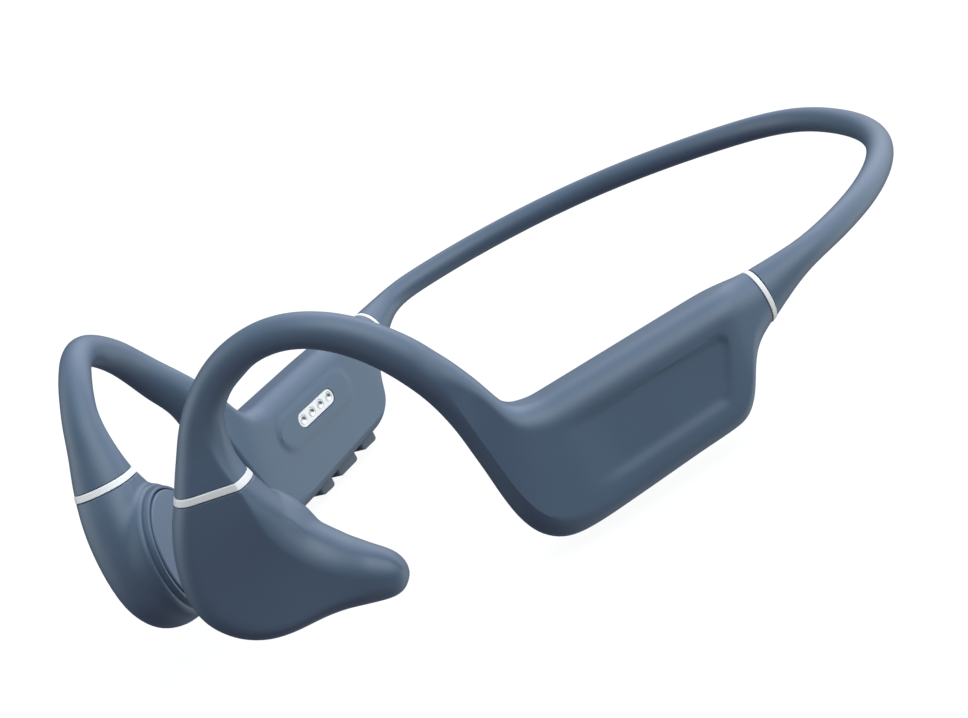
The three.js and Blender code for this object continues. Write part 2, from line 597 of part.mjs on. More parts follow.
// Adds the raised charging oval on the inner wall and the openings.
function controlSkin(skin) {
  const oval = facingOut(extruded(roundedShape(19.5, 5.8), 0.9), CHARGER.w, CHARGER.n, CHARGER.z);
  return cutAll(skin.add(solid(oval)), [insertHole, ...buttonSlots, microphonePort]);
}

const skin = sideSkin();
put('side_skin_left', geometryOf(skin), MATERIALS.skin);
putRight('side_skin_right', geometryOf(controlSkin(skin)), MATERIALS.skin);
putWireAndCable('hook', hookWireLine, acrossSheet);

// ---------- electronics casings ----------
function caseShell() {
  const list = SIDE.slice(2, 16);
  return cutAll(solid(sideLoft(list, CASE_INSET, 1)), [
    solid(sideLoft(list.slice(1, -1), CASE_INSET + CASE_WALL, 1)),
    hookBoreWide.add(bandBoreWide),
  ]);
}

// Keeps the outer (side 1) or inner (side -1) part of the casing.
function caseHalf(shell, side) {
  const cutterDepth = 20;
  const cutter = new THREE.BoxGeometry(80, cutterDepth, 60);
  return shell.subtract(solid(upright(cutter, 55, -side * (cutterDepth - CASE_SPLIT) / 2, -5)));
}

const shell = caseShell();
const outerCase = caseHalf(shell, 1);
const innerCase = caseHalf(shell, -1);
put('battery_case_outer', geometryOf(outerCase), MATERIALS.casing);
put('battery_case_inner', geometryOf(innerCase), MATERIALS.casing);
putRight('control_case_outer',
  geometryOf(cutAll(outerCase, [...buttonSlots, microphonePort])), MATERIALS.casing);
putRight('control_case_inner',
  geometryOf(cutAll(innerCase, [insertHole, ...buttonSlots])), MATERIALS.casing);

// ---------- battery side contents ----------
function batteryCell() {
  const bevel = {
    bevelEnabled: true, bevelThickness: 0.4, bevelSize: 0.4, bevelSegments: 1, curveSegments: 2,
  };
  return facingOut(extruded(roundedShape(21.5, 9.6, 1.0), 3.1, bevel), 57.2, -1.5, -7.6);
}
put('battery_cell', batteryCell(), MATERIALS.cell);
put('battery_board', block([45.6, 68.0], [2.25, 2.75], [-11.6, -3.6]), MATERIALS.board);

// ---------- control side contents ----------
putRight('main_board', block([44.2, 67.8], [1.6, 2.3], [-11.0, -1.6]), MATERIALS.board);
putRight('radio_module', block([60.4, 67.0], [-0.4, 1.3], [-9.0, -2.4]), MATERIALS.can);
putRight('microphone', block([43.2, 46.2], [-0.8, 1.3], [-13.1, -11.3]), MATERIALS.contact);

function button(length, middle) {
  const face = undersideAt(middle) - BUTTON_PROUD;
  const bevel = {
    bevelEnabled: true, bevelThickness: BUTTON_BEVEL, bevelSize: 0.4, bevelSegments: 1,
  };
  const shape = roundedShape(length - 0.8, BUTTON_WIDTH - 0.8, 1.1);
  const cap = extruded(shape, BUTTON_ROOT_Z - face - 2 * BUTTON_BEVEL, bevel);
  const stem = upright(rod(0.8, 1.4, 10), middle, 0, BUTTON_ROOT_Z + 0.4);
  return geometryOf(solid(upright(cap, middle, 0, face + BUTTON_BEVEL)).add(solid(stem)));
}
for (const [name, front, rear] of BUTTONS) {
  const middle = (front + rear) / 2;
  const switchBody = block([middle - 1.6, middle + 1.6], [-1.2, 1.3], [-12.5, -11.35]);
  putRight(`${name}_button`, button(rear - front, middle), MATERIALS.button);
  putRight(`${name}_switch`, switchBody, MATERIALS.can);
}

// Charging insert with its pins between two holding magnets.
const CONTACT_PROFILE = [   // radius, distance from the face
  [0, 0.2], [0.45, 0.05], [CONTACT_RADIUS, 0], [CONTACT_RADIUS, 2.2],
  [0.45, 2.3], [0.45, 4.6], [0, 4.6],
];
const contactPositions = Array.from({ length: CONTACT_COUNT }, (_, k) => (
  CHARGER.w + (k - (CONTACT_COUNT - 1) / 2) * CONTACT_PITCH));

function chargingInsert() {
  const body = extruded(roundedShape(...INSERT_SIZE), 1.9);
  const holes = contactPositions.map((w) => (
    solid(facingOut(rod(CONTACT_RADIUS + 0.15, 6, 8), w, -4.0, CHARGER.z))));
  return geometryOf(
    cutAll(solid(facingOut(body, CHARGER.w, CHARGER.n + 0.15, CHARGER.z)), holes));
}
contactPositions.forEach((w, k) => {
  const pin = turned(CONTACT_PROFILE, 10).rotateX(Math.PI / 2);
  putRight(`charging_contact_${k + 1}`,
    facingOut(pin, w, CHARGER.n + 0.2, CHARGER.z), MATERIALS.contact);
});
putRight('charging_insert', chargingInsert(), MATERIALS.plastic);
[-MAGNET_OFFSET, MAGNET_OFFSET].forEach((offset, k) => {
  putRight(`charging_magnet_${k + 1}`,
    facingOut(rod(1.25, 1.6, 14), CHARGER.w + offset, -1.25, CHARGER.z), MATERIALS.magnet);
});

// ---------- pods ----------
// Frame on the transducer axis: local x rearwards, local y outwards. Side 1 left, -1 right.
function podFrame(side) {
  const back = new THREE.Vector3(side * Math.sin(POD_ANGLE), Math.cos(POD_ANGLE), 0);
  const out = new THREE.Vector3(side * Math.cos(POD_ANGLE), -Math.sin(POD_ANGLE), 0);
  const [x, y, z] = onSheet(POD_CENTRE.w, 0, POD_CENTRE.z);
  return new THREE.Matrix4()
    .makeBasis(back, out, new THREE.Vector3().crossVectors(back, out))
    .setPosition(side * x, y, z);
}

const CHAMBER_PROFILE = [   // radius, n
  [0, -7.5], [POD_BORE, -7.5], [POD_BORE, -0.9], [7.3, -0.9], [7.3, 2.55], [0, 2.55],
];
const SKIRT_SIDES = 26;

function podShell() {
  const skirt = SKIRT.map(([w, z, radius, n]) => (
    Array.from({ length: SKIRT_SIDES }, (_, j) => {
      const angle = 2 * Math.PI * j / SKIRT_SIDES;
      return onSheet(w + radius * Math.cos(angle), n, z + radius * Math.sin(angle));
    })));
  const body = solid(sideLoft(POD, 0, 2, onSheet(...SNOUT_TIP))).add(solid(loft(skirt)));
  const chamber = turned(CHAMBER_PROFILE, 24).applyMatrix4(podFrame(1));
  return geometryOf(cutAll(body, [solid(chamber), hookBore]));
}
putBoth('pod_shell', podShell(), MATERIALS.skin);

// Turned transducer parts: material, then profile rows of radius, n.
const STACK = {
  magnet_yoke: [MATERIALS.steel,
    [[0, 2.3], [7.0, 2.3], [7.0, -1.3], [6.2, -1.3], [6.2, 1.5], [0, 1.5]]],
  magnet: [MATERIALS.magnet, [[0, 1.2], [4.4, 1.2], [4.4, -0.3], [0, -0.3]]],
  pole_plate: [MATERIALS.steel, [[0, -0.6], [4.6, -0.6], [4.6, -1.3], [0, -1.3]]],
  voice_coil: [MATERIALS.copper, [[5.0, 0.6], [5.7, 0.6], [5.7, -1.35], [5.0, -1.35], [5.0, 0.6]]],
  drive_plate: [MATERIALS.steel, [[0, -2.3], [5.8, -2.3], [5.8, -3.0], [0, -3.0]]],
  contact_pad: [MATERIALS.pad, [
    [0, -3.3], [2.6, -3.3], [2.6, -5.4], [PAD_RADIUS - 0.1, -5.4], [PAD_RADIUS, -5.7],
    [PAD_RADIUS, -6.65], [PAD_RADIUS - 0.6, PAD_FACE], [0, PAD_FACE]]],
  pad_seal: [MATERIALS.skin,
    [[8.7, -6.15], [8.8, -6.75], [9.05, -6.75], [9.3, -6.15], [8.7, -6.15]]],
};

// Thin disc with three curved slots.
function springPlate() {
  const slotCount = 3;
  const slotAngle = 1.75;
  const shape = new THREE.Shape();
  shape.absarc(0, 0, 8.3, 0, 2 * Math.PI);
  for (let k = 0; k < slotCount; k++) {
    const start = k * 2 * Math.PI / slotCount;
    const slot = new THREE.Path();
    slot.absarc(0, 0, 6.6, start, start + slotAngle);
    slot.absarc(0, 0, 4.2, start + slotAngle, start, true);
    slot.closePath();
    shape.holes.push(slot);
  }
  return extruded(shape, 0.22, { curveSegments: 4 }).rotateX(-Math.PI / 2).translate(0, -1.95, 0);
}

for (const [name, side] of [['left', 1], ['right', -1]]) {
  const group = new THREE.Group();
  podFrame(side).decompose(group.position, group.quaternion, group.scale);
  root.add(group);
  for (const [part, [look, profile]] of Object.entries(STACK)) {
    put(`${part}_${name}`, turned(profile, 20), look, group);
  }
  put(`spring_plate_${name}`, springPlate(), MATERIALS.steel, group);
}

export default root;
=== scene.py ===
# Bone conduction headphones: two arms, each with a control box and a front pod, joined by a
# neckband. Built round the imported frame: +x is the wearer's left, -y the front, +z up.
# Shapes are in millimetres and reach metres in metres(). An arm's points are (w, n, z): w runs
# back along its side sheet from the pod, n is the distance outwards from the sheet, z is up.
import json
import math

import bmesh
import bpy
import numpy as np
from mathutils import Matrix


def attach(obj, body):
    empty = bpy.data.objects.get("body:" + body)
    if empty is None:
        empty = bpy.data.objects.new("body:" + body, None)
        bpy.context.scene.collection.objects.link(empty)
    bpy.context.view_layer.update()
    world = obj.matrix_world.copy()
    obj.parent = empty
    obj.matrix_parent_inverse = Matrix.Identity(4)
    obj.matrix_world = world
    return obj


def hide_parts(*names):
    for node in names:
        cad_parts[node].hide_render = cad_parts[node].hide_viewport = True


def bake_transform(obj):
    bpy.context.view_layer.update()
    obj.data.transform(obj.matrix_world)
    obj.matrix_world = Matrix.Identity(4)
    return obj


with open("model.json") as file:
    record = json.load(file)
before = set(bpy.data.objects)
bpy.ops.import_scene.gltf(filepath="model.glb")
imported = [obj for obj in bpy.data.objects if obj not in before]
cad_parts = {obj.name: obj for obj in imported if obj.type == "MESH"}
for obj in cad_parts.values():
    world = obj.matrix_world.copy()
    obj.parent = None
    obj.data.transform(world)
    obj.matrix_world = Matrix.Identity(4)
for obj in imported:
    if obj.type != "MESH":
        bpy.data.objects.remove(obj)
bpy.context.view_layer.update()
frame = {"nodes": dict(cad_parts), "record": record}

# ---------------------------------------------------------------- side sheet
# Straight through the pod, a bend over the temple, straight through the box.
SHEET_FRONT = (16.3, -128.9)                  # x, y at w = 0
FRONT_HEADING, REAR_HEADING = math.radians(42.0), math.radians(18.9)
BEND_START, BEND_END = 18.0, 37.0             # w
ORIGIN = np.array([0.0, 67.6349, 17.489])     # added to every point
# The right arm's upper part sinks towards the rear: amount, range in w, fade in depth
RIGHT_DROP, DROP_W, DROP_DEPTH = 0.4, (60.0, 76.0), (1.0, 6.0)


def ease(x, start, end):
    """Smooth step from 0 at start to 1 at end."""
    t = np.clip((x - start) / (end - start), 0.0, 1.0)
    return t * t * (3 - 2 * t)


def sheet(w):
    """x, y and heading of the left side sheet at w."""
    x, y = SHEET_FRONT
    along = min(w, BEND_START)
    x += math.sin(FRONT_HEADING) * along
    y += math.cos(FRONT_HEADING) * along
    if w <= BEND_START:
        return x, y, FRONT_HEADING
    turn = (REAR_HEADING - FRONT_HEADING) / (BEND_END - BEND_START)
    heading = FRONT_HEADING + turn * (min(w, BEND_END) - BEND_START)
    past = max(0.0, w - BEND_END)
    x += (-math.cos(heading) + math.cos(FRONT_HEADING)) / turn + past * math.sin(REAR_HEADING)
    y += (math.sin(heading) - math.sin(FRONT_HEADING)) / turn + past * math.cos(REAR_HEADING)
    return x, y, heading


def at(w, n, z, side):
    """The point (w, n, z) of an arm; side is 1 for the left and -1 for the right."""
    if side < 0:
        z = z - RIGHT_DROP * ease(w, *DROP_W) * (1.0 - ease(-z, *DROP_DEPTH))
    x, y, heading = sheet(w)
    return np.array([side * (x + n * math.cos(heading)), y - n * math.sin(heading), z])


def metres(point):
    return (np.asarray(point, float) + ORIGIN) / 1000.0


def ring(points, side):
    return np.array([at(w, n, z, side) for w, n, z in points])


def circle(w, z, radius, n, side, count):
    """A circle lying parallel to the sheet."""
    angles = [2 * math.pi * j / count for j in range(count)]
    return ring([(w + radius * math.cos(a), n, z + radius * math.sin(a)) for a in angles], side)


# ---------------------------------------------------------------- stations
# A station is one section of an arm, between edge T and edge B. T is the upper edge of the
# box and temple and runs on round the front and underside of the pod; B is the other edge.
# Columns: T w, T z, B w, B z, thickness outwards, thickness inwards, then for each of the
# corners T outer, T inner, B outer, B inner: length along, length across, crease. A crease
# above 0 leaves a crisp edge where the corner meets the flat.
# A row of 9 gives one corner that serves for all four.
def stations(rows):
    return np.array([row[:6] + row[6:] * (4 if len(row) == 9 else 1) for row in rows], float)


# Box, temple and descent to the pod, from the rear forwards
SIDE = stations([
    (77.7, 2.1, 77.9, -5.75, 3.5, 3.5, 3.9, 3.5, 0),
    (76, 2.25, 76, -6.6, 3.95, 3.95, 3.9, 3.8, 0),
    (74.6, 2.35, 74.05, -7.8, 4.35, 4.35, 3.8, 3.8, 0),
    (73.3, 2.5, 72.5, -9.4, 4.7, 4.15, 3.5, 3.5, 0, 3.5, 3.5, 0, 3.3, 3.3, 0, 3.8, 3.8, 0),
    (72.2, 2.5, 71.3, -11.3, 4.95, 4.4, 3.4, 3.4, 0, 3.4, 3.4, 0, 3.1, 3.1, 0, 3.6, 3.6, 0),
    (71, 2.5, 70.2, -13.05, 5.05, 4.5, 3.3, 3.3, 0, 3.3, 3.3, 0, 2.9, 2.9, 0, 2.1, 3, 0.45),
    (69.6, 2.5, 68.75, -14.4, 5.1, 4.55, 3.3, 3.3, 0, 3.3, 3.3, 0, 2.7, 2.7, 0, 2.1, 3, 0.45),
    (68, 2.5, 67.3, -15, 5.1, 4.55, 3.3, 3.3, 0, 3.3, 3.3, 0, 2.6, 2.6, 0, 2.1, 3, 0.45),
    (60, 2.5, 60, -15.35, 5.1, 4.55, 3.3, 3.3, 0, 3.3, 3.3, 0, 2.6, 2.6, 0, 2.1, 3, 0.45),
    (46.5, 2.5, 45.4, -16.05, 5.1, 4.55, 3.3, 3.3, 0, 3.3, 3.3, 0, 2.6, 2.6, 0, 2.1, 3, 0.45),
    (44.2, 2.5, 42.3, -16.1, 5.1, 4.55, 3.2, 3.2, 0, 3.2, 3.2, 0, 2.7, 2.7, 0.15, 2.1, 3, 0.45),
    (42.7, 2.8, 39.65, -16, 5.1, 4.55, 3.1, 3.2, 0, 3.1, 3.2, 0, 3, 3.2, 0.3, 3, 3.2, 0),
    (41.4, 3.2, 37.4, -15.05, 5.1, 4.5, 3, 3.2, 0, 3, 3.2, 0, 3.3, 3.8, 0.38, 3.3, 3.8, 0),
    (40.4, 4, 35.7, -13.1, 5.05, 4.45, 3, 3.2, 0, 3, 3.2, 0, 3.5, 4.2, 0.4, 3.5, 4.2, 0),
    (39.5, 5.3, 34.7, -10.25, 4.9, 4.3, 2.9, 3.2, 0, 2.9, 3.2, 0, 3.6, 4.4, 0.4, 3.6, 4.4, 0),
    (38.8, 7.1, 34.15, -7.05, 4.65, 4.05, 2.8, 3.2, 0, 2.8, 3.2, 0, 3.5, 4.4, 0.4, 3.5, 4.4, 0),
    (38.1, 9.1, 33.8, -3.6, 4.3, 3.75, 2.7, 3.2, 0, 2.7, 3.2, 0, 3.4, 4.2, 0.38, 3.4, 4.2, 0),
    (37.2, 11.2, 33.3, 0.4, 3.95, 3.4, 2.8, 3.2, 0, 2.8, 3.2, 0, 3.4, 3.8, 0.34, 3.4, 3.8, 0),
    (36.2, 13.3, 32.7, 4.6, 4, 2.85, 3, 3.2, 0, 3, 3.2, 0, 3.4, 3.5, 0.26, 3.4, 3.5, 0),
    (35, 15.5, 31.6, 8.9, 4, 2.35, 3.6, 3.2, 0, 3.6, 3.2, 0, 3.6, 3.2, 0.14, 3.6, 3.2, 0),
    (33.5, 18.2, 30, 13, 4.85, 1.25, 3.1341, 3.05, 0),
    (31.35, 21.25, 27.8, 17.1, 4.8, 0.7, 2.7306, 2.75, 0),
    (28.5, 24.4, 25.2, 20.5, 4.5, 0.7, 2.5544, 2.6, 0),
    (25.2, 27.05, 22.1, 23.3, 4.45, 0.55, 2.4327, 2.5, 0),
    (21.45, 28.88, 19.15, 24.65, 4.12, 0.72, 2.4074, 2.42, 0),
    (17.6, 29.6, 16.5, 24.95, 3.7, 1.1, 2.3892, 2.4, 0),
    (13.8, 29.35, 14, 24.65, 3.3, 1.5, 2.3521, 2.4, 0),
    (10.35, 28.45, 11.85, 23.75, 2.92, 1.92, 2.4668, 2.42, 0),
    (7.1, 26.9, 9.8, 22.8, 2.7, 2.3, 2.4546, 2.5, 0),
    (4.35, 24.9, 8.15, 21.5, 2.65, 2.55,
     2.5495, 2.6, 0, 2.5495, 2.6, 0, 2.5495, 2.6, 0, 2.5495, 2.6, 0.06),
    (1.95, 22.6, 6.95, 20.15, 2.75, 2.8, 2.7, 2.8, 0, 2.7, 2.8, 0, 2.5, 2.8, 0.1, 2.7, 2.8, 0.18),
    (0, 20.2, 6.15, 18.3, 2.9, 3.25, 3, 3.2, 0, 3.1, 3.2, 0, 2.3, 3.2, 0.2, 3.1, 3.2, 0.32),
    (-1.7, 17.6, 5.7, 16.3, 3.2, 3.75, 3.2, 3.5, 0, 3.5, 3.7, 0, 1.8, 3.5, 0.28, 3.5, 3.7, 0.42),
    (-3.3, 15.15, 5.55, 14.2, 3.6, 4.25, 3.3, 3.9, 0, 3.9, 4.2, 0, 1.4, 3.8, 0.34, 4, 4.2, 0.46),
    (-4.44, 13.21, 5.87, 12.05, 3.88, 4.55,
     3.3, 4.1, 0, 4.1, 4.5, 0, 1.2, 3.8, 0.36, 4.3, 4.5, 0.46),
])
# Trim rings, each from its first to its last section
TRIM_RINGS = {
    "front_ring": stations([
        (-4.52, 13.08, 5.91, 11.92, 3.98, 4.65,
         3.3, 4.1, 0, 4.1, 4.5, 0, 1.2, 3.8, 0.36, 4.3, 4.3, 0.46),
        (-5.09, 12.16, 6.12, 10.86, 4.08, 4.75,
         3.4, 4.3, 0, 4.1, 4.4, 0, 1.3, 3.8, 0.36, 4.3, 4.2, 0.46),
    ]),
    "rear_ring": stations([
        (77.84, 2.1, 78.04, -5.8, 3.58, 3.58, 3.95, 3.58, 0),
        (78.62, 2.08, 78.82, -5.55, 3.46, 3.46, 3.8, 3.46, 0),
    ]),
}
# Pod body, from the front ring down and back to its rounded tip
POD = stations([
    (-5.16, 12.05, 6.14, 10.74, 4.05, 4.75,
     3.5, 4.3, 0, 4, 4.2, 0, 1.3, 3.8, 0.36, 4.2, 4.3, 0.46),
    (-7, 9.4, 6.5, 9.1, 4.1, 4.95, 3.9, 4.6, 0, 3.8, 3.9, 0, 1.6, 3.9, 0.34, 3.8, 3.9, 0.44),
    (-8.5, 6.5, 6.95, 7.55, 4.1, 5.05, 4.3, 4.9, 0, 3.4, 3.5, 0, 2.1, 4.1, 0.32, 3.4, 3.6, 0.38),
    (-9.75, 3.3, 7.55, 5.85, 3.95, 5.2, 4.6, 5.2, 0, 3.1, 3.1, 0, 2.7, 4.3, 0.3, 3.2, 3.3, 0.28),
    (-10.6, -0.4, 8.1, 4.1, 3.7, 5.3, 4.8, 5.4, 0, 2.9, 2.9, 0, 3.1, 4.4, 0.28, 3.1, 3.1, 0.14),
    (-10.5, -4.4, 8.85, 2.55, 3.4, 5.4, 4.9, 5.4, 0, 2.9, 2.9, 0, 3.4, 4.4, 0.26, 3.1, 3.1, 0),
    (-9, -7.5, 9.65, 1.15, 3.2, 5.5, 4.8, 5.4, 0, 3, 2.9, 0, 3.6, 4.4, 0.24, 3.1, 3.1, 0),
    (-6.5, -9.85, 10.5, 0, 3.1, 5.55, 4.6, 5.3, 0, 3, 2.9, 0, 3.7, 4.4, 0.22, 3.2, 3.1, 0),
    (-3.1, -11.25, 11.4, -1.1, 3.15, 5.5, 4.3, 5.2, 0, 3.1, 3, 0, 3.7, 4.3, 0.2, 3.2, 3.1, 0),
    (0.8, -11.5, 12.35, -2.1, 3.3, 5.1, 4, 4.9, 0, 3.2, 3.1, 0, 3.6, 4.3, 0.16, 3.3, 3.2, 0),
    (4.8, -11.2, 13.35, -2.95, 3.5, 4.5, 3.8, 4.6, 0, 3.3, 3.2, 0, 3.5, 4.2, 0.12, 3.3, 3.2, 0),
    (8.2, -11.15, 14.4, -3.65, 3.75, 3.9, 3.5, 4.2, 0, 3.3, 3.2, 0, 3.4, 4, 0.08, 3.3, 3.2, 0),
    (11, -11.55, 15.5, -4.45, 3.95, 3.25, 3.4, 3.9, 0, 3.3, 3.2, 0, 3.4, 3.8, 0.04, 3.3, 3.2, 0),
    (13.4, -12.05, 16.55, -5.4, 3.65, 3, 3.3, 3.5, 0, 3.3, 3, 0, 3.3, 3.5, 0, 3.3, 3, 0),
    (15.55, -12.35, 17.6, -6.5, 3.15, 2.55, 2.6, 2.9, 0, 2.6, 2.55, 0, 2.6, 2.9, 0, 2.6, 2.55, 0),
    (17.1, -11.95, 18.3, -7.7, 2.45, 1.9, 1.6, 1.95, 0, 1.6, 1.65, 0, 1.6, 1.95, 0, 1.6, 1.65, 0),
    (18.2, -10.85, 18.65, -9.1, 1.3, 0.85,
     0.55, 0.75, 0, 0.55, 0.6, 0, 0.55, 0.75, 0, 0.55, 0.6, 0),
    (18.75, -9.95, 18.75, -9.95, 0.2, -0.2, 0, 0, 0),
])


# ---------------------------------------------------------------- station smoothing
def gaps(points):
    return np.hypot(*np.diff(points, axis=0).T)


def running(lengths):
    return np.r_[0, np.cumsum(lengths)]


def catmull(rows, distance, step):
    """Resamples rows at spacing step along distance, with a Catmull-Rom curve."""
    last = len(rows) - 1
    slope = np.zeros_like(rows)
    for i in range(last + 1):
        a, b = max(i - 1, 0), min(i + 1, last)
        slope[i] = (rows[b] - rows[a]) / (distance[b] - distance[a])
    count = max(2, int(round(distance[-1] / step)) + 1)
    out = []
    for s in np.linspace(0, distance[-1], count):
        i = min(int(np.searchsorted(distance, s, "right")) - 1, last - 1)
        gap = distance[i + 1] - distance[i]
        t = (s - distance[i]) / gap
        out.append((2 * t**3 - 3 * t**2 + 1) * rows[i]
                   + (t**3 - 2 * t**2 + t) * gap * slope[i]
                   + (-2 * t**3 + 3 * t**2) * rows[i + 1]
                   + (t**3 - t**2) * gap * slope[i + 1])
    return np.array(out)


def blur(rows, sigma, far_signs=None):
    """Gaussian blur along the list. End rows stay put, unless far_signs mirrors the far end."""
    reach = int(3 * sigma) + 1
    kernel = np.exp(-0.5 * (np.arange(-reach, reach + 1) / sigma) ** 2)
    kernel /= kernel.sum()
    head = 2 * rows[0] - rows[1:reach + 1][::-1]
    tail = rows[-reach - 1:-1][::-1]
    tail = 2 * rows[-1] - tail if far_signs is None else tail * far_signs
    padded = np.concatenate([head, rows, tail])
    windows = (padded[i:i + len(kernel)] for i in range(len(rows)))
    return np.array([(window * kernel[:, None]).sum(0) for window in windows])


def blur_to_tip(rows, sigma):
    """Blur that rounds off the far end: the sizes change sign beyond it, the places do not."""
    split = rows.copy()
    split[:, 0:2] = 0.5 * (rows[:, 0:2] + rows[:, 2:4])
    split[:, 2:4] = rows[:, 0:2] - rows[:, 2:4]
    split[:, 4] = 0.5 * (rows[:, 4] - rows[:, 5])
    split[:, 5] = rows[:, 4] + rows[:, 5]
    signs = np.ones(rows.shape[1])
    signs[[2, 3, 5, 6, 7, 9, 10, 12, 13, 15, 16]] = -1.0
    split = blur(split, sigma, signs)
    out = split.copy()
    out[:, 0:2] = split[:, 0:2] + 0.5 * split[:, 2:4]
    out[:, 2:4] = split[:, 0:2] - 0.5 * split[:, 2:4]
    out[:, 4] = split[:, 4] + 0.5 * split[:, 5]
    out[:, 5] = 0.5 * split[:, 5] - split[:, 4]
    return out


def refine(rows, step, sigma, smoother=blur):
    """Closely spaced, smoothed stations; sigma is in mm."""
    middle = gaps(0.5 * (rows[:, 0:2] + rows[:, 2:4]))
    outer = np.hypot(middle, np.diff(rows[:, 4]))
    inner = np.hypot(middle, np.diff(rows[:, 5]))
    lengths = 0.25 * (gaps(rows[:, 0:2]) + gaps(rows[:, 2:4]) + outer + inner) + 0.02
    return smoother(catmull(rows, running(lengths), step), sigma / step)


# ---------------------------------------------------------------- cross-sections
CORNER_VERTS, WIDE_VERTS, NARROW_VERTS = 10, 24, 5
SEGMENTS = [CORNER_VERTS, NARROW_VERTS, CORNER_VERTS, WIDE_VERTS] * 2
AROUND = sum(SEGMENTS)
MIN_CORNER = 0.12
ARC = np.linspace(0, 1, 17)[:, None]
ARC_WEIGHTS = (1 - ARC) ** 2, 2 * math.sqrt(0.5) * ARC * (1 - ARC), ARC**2


def corner_arc(corner, height, n, up, out):
    """A corner from the wide flat to the narrow end; up and out are its directions, +-1."""
    along, across, crease = corner
    flat = np.array([height - up * along, n])
    end = np.array([height, n - out * across])
    control = np.array([height, n - out * crease * across])
    a, b, c = ARC_WEIGHTS
    return (a * flat + b * control + c * end) / (a + b + c)


def straight(start, end):
    return start + (end - start) * ARC


def outline(station, inset):
    """A section as heights above its foot and distances n, then the foot and up direction."""
    top, bottom = station[0:2], station[2:4]
    outer, inner = station[4] - inset, station[5] - inset
    span = float(np.hypot(*(top - bottom)))
    up = (top - bottom) / span
    height = span - 2 * inset
    corners = {}
    for name, c in (("TO", 6), ("TI", 9), ("BO", 12), ("BI", 15)):
        along, across, crease = station[c:c + 3]
        corners[name] = [max(along - inset, MIN_CORNER), max(across - inset, MIN_CORNER), crease]
    # Neighbouring corners shrink together where they would overlap
    for one, two, axis, room in (("TO", "TI", 1, outer + inner), ("BO", "BI", 1, outer + inner),
                                 ("TO", "BO", 0, height), ("TI", "BI", 0, height)):
        total = corners[one][axis] + corners[two][axis]
        if total > room:
            corners[one][axis] *= room / total
            corners[two][axis] *= room / total
    top_out = corner_arc(corners["TO"], height, outer, 1, 1)
    top_in = corner_arc(corners["TI"], height, -inner, 1, -1)[::-1]
    bottom_in = corner_arc(corners["BI"], 0.0, -inner, -1, -1)
    bottom_out = corner_arc(corners["BO"], 0.0, outer, -1, 1)[::-1]
    arcs = [top_out, top_in, bottom_in, bottom_out]
    path, distance, marks = [top_out[0]], [0.0], [0.0]
    for arc, following in zip(arcs, arcs[1:] + arcs[:1]):
        for part in (arc, straight(arc[-1], following[0])):
            for point in part[1:]:
                distance.append(distance[-1] + float(np.hypot(*(point - path[-1]))))
                path.append(point)
            marks.append(distance[-1])
    path = np.array(path)
    # Vertices follow the corners where the section has flats, else they are evenly spaced
    aligned = np.concatenate([marks[k] + (marks[k + 1] - marks[k]) * np.arange(count) / count
                              for k, count in enumerate(SEGMENTS)])
    even = distance[-1] * np.arange(AROUND) / AROUND
    flat = min(height - corners["TO"][0] - corners["BO"][0],
               height - corners["TI"][0] - corners["BI"][0]) / (0.3 * height)
    share = ease(flat, 0.0, 1.0)
    target = share * aligned + (1 - share) * even
    heights = np.interp(target, distance, path[:, 0])
    return heights, np.interp(target, distance, path[:, 1]), bottom + up * inset, up


def section(station, side, inset=0.0, carve=None):
    heights, n, foot, up = outline(station, inset)
    w, z = foot[0] + up[0] * heights, foot[1] + up[1] * heights
    if carve is not None:
        n = carve(w, n, z, side)
    return ring(zip(w, n, z), side)


# ---------------------------------------------------------------- mesh helpers
def shade_smooth(ob, sharp):
    """Smooth shading, with edges over sharp degrees kept hard."""
    bm = bmesh.new()
    bm.from_mesh(ob.data)
    limit = math.radians(sharp)
    for face in bm.faces:
        face.smooth = True
    for edge in bm.edges:
        edge.smooth = not (len(edge.link_faces) == 2 and edge.calc_face_angle(0.0) > limit)
    bm.to_mesh(ob.data)
    bm.free()


def loft(name, rings, sharp=35.0, tip=None):
    """A solid through rings given in mm; each end closes on a centre point, the last on tip."""
    count = len(rings[0])
    verts = [metres(p) for r in rings for p in r]
    faces = []
    for r in range(len(rings) - 1):
        for j in range(count):
            a, b = r * count + j, r * count + (j + 1) % count
            faces.append((a, b, b + count, a + count))
    start, last = len(verts), (len(rings) - 1) * count
    verts.append(metres(np.mean(rings[0], 0)))
    verts.append(metres(tip if tip is not None else np.mean(rings[-1], 0)))
    faces += [(start, (j + 1) % count, j) for j in range(count)]
    faces += [(start + 1, last + j, last + (j + 1) % count) for j in range(count)]

    mesh = bpy.data.meshes.new(name)
    mesh.from_pydata([tuple(v) for v in verts], [], faces)
    mesh.validate()
    bm = bmesh.new()
    bm.from_mesh(mesh)
    bmesh.ops.remove_doubles(bm, verts=bm.verts, dist=1e-7)
    bmesh.ops.recalc_face_normals(bm, faces=bm.faces)
    if bm.calc_volume(signed=True) < 0:
        bmesh.ops.reverse_faces(bm, faces=bm.faces)
    bm.to_mesh(mesh)
    bm.free()
    ob = bpy.data.objects.new(name, mesh)
    bpy.context.scene.collection.objects.link(ob)
    shade_smooth(ob, sharp)
    return ob


def apply_modifiers(ob):
    bpy.context.view_layer.update()
    evaluated = ob.evaluated_get(bpy.context.evaluated_depsgraph_get())
    mesh = bpy.data.meshes.new_from_object(evaluated)
    ob.modifiers.clear()
    old = ob.data
    ob.data = mesh
    bpy.data.meshes.remove(old)


def cut(ob, cutters, sharp):
    for cutter in cutters:
        mod = ob.modifiers.new("cut", "BOOLEAN")
        mod.operation = "DIFFERENCE"
        mod.solver = "EXACT"
        mod.object = cutter
        apply_modifiers(ob)
        bpy.data.objects.remove(cutter)
    shade_smooth(ob, sharp)


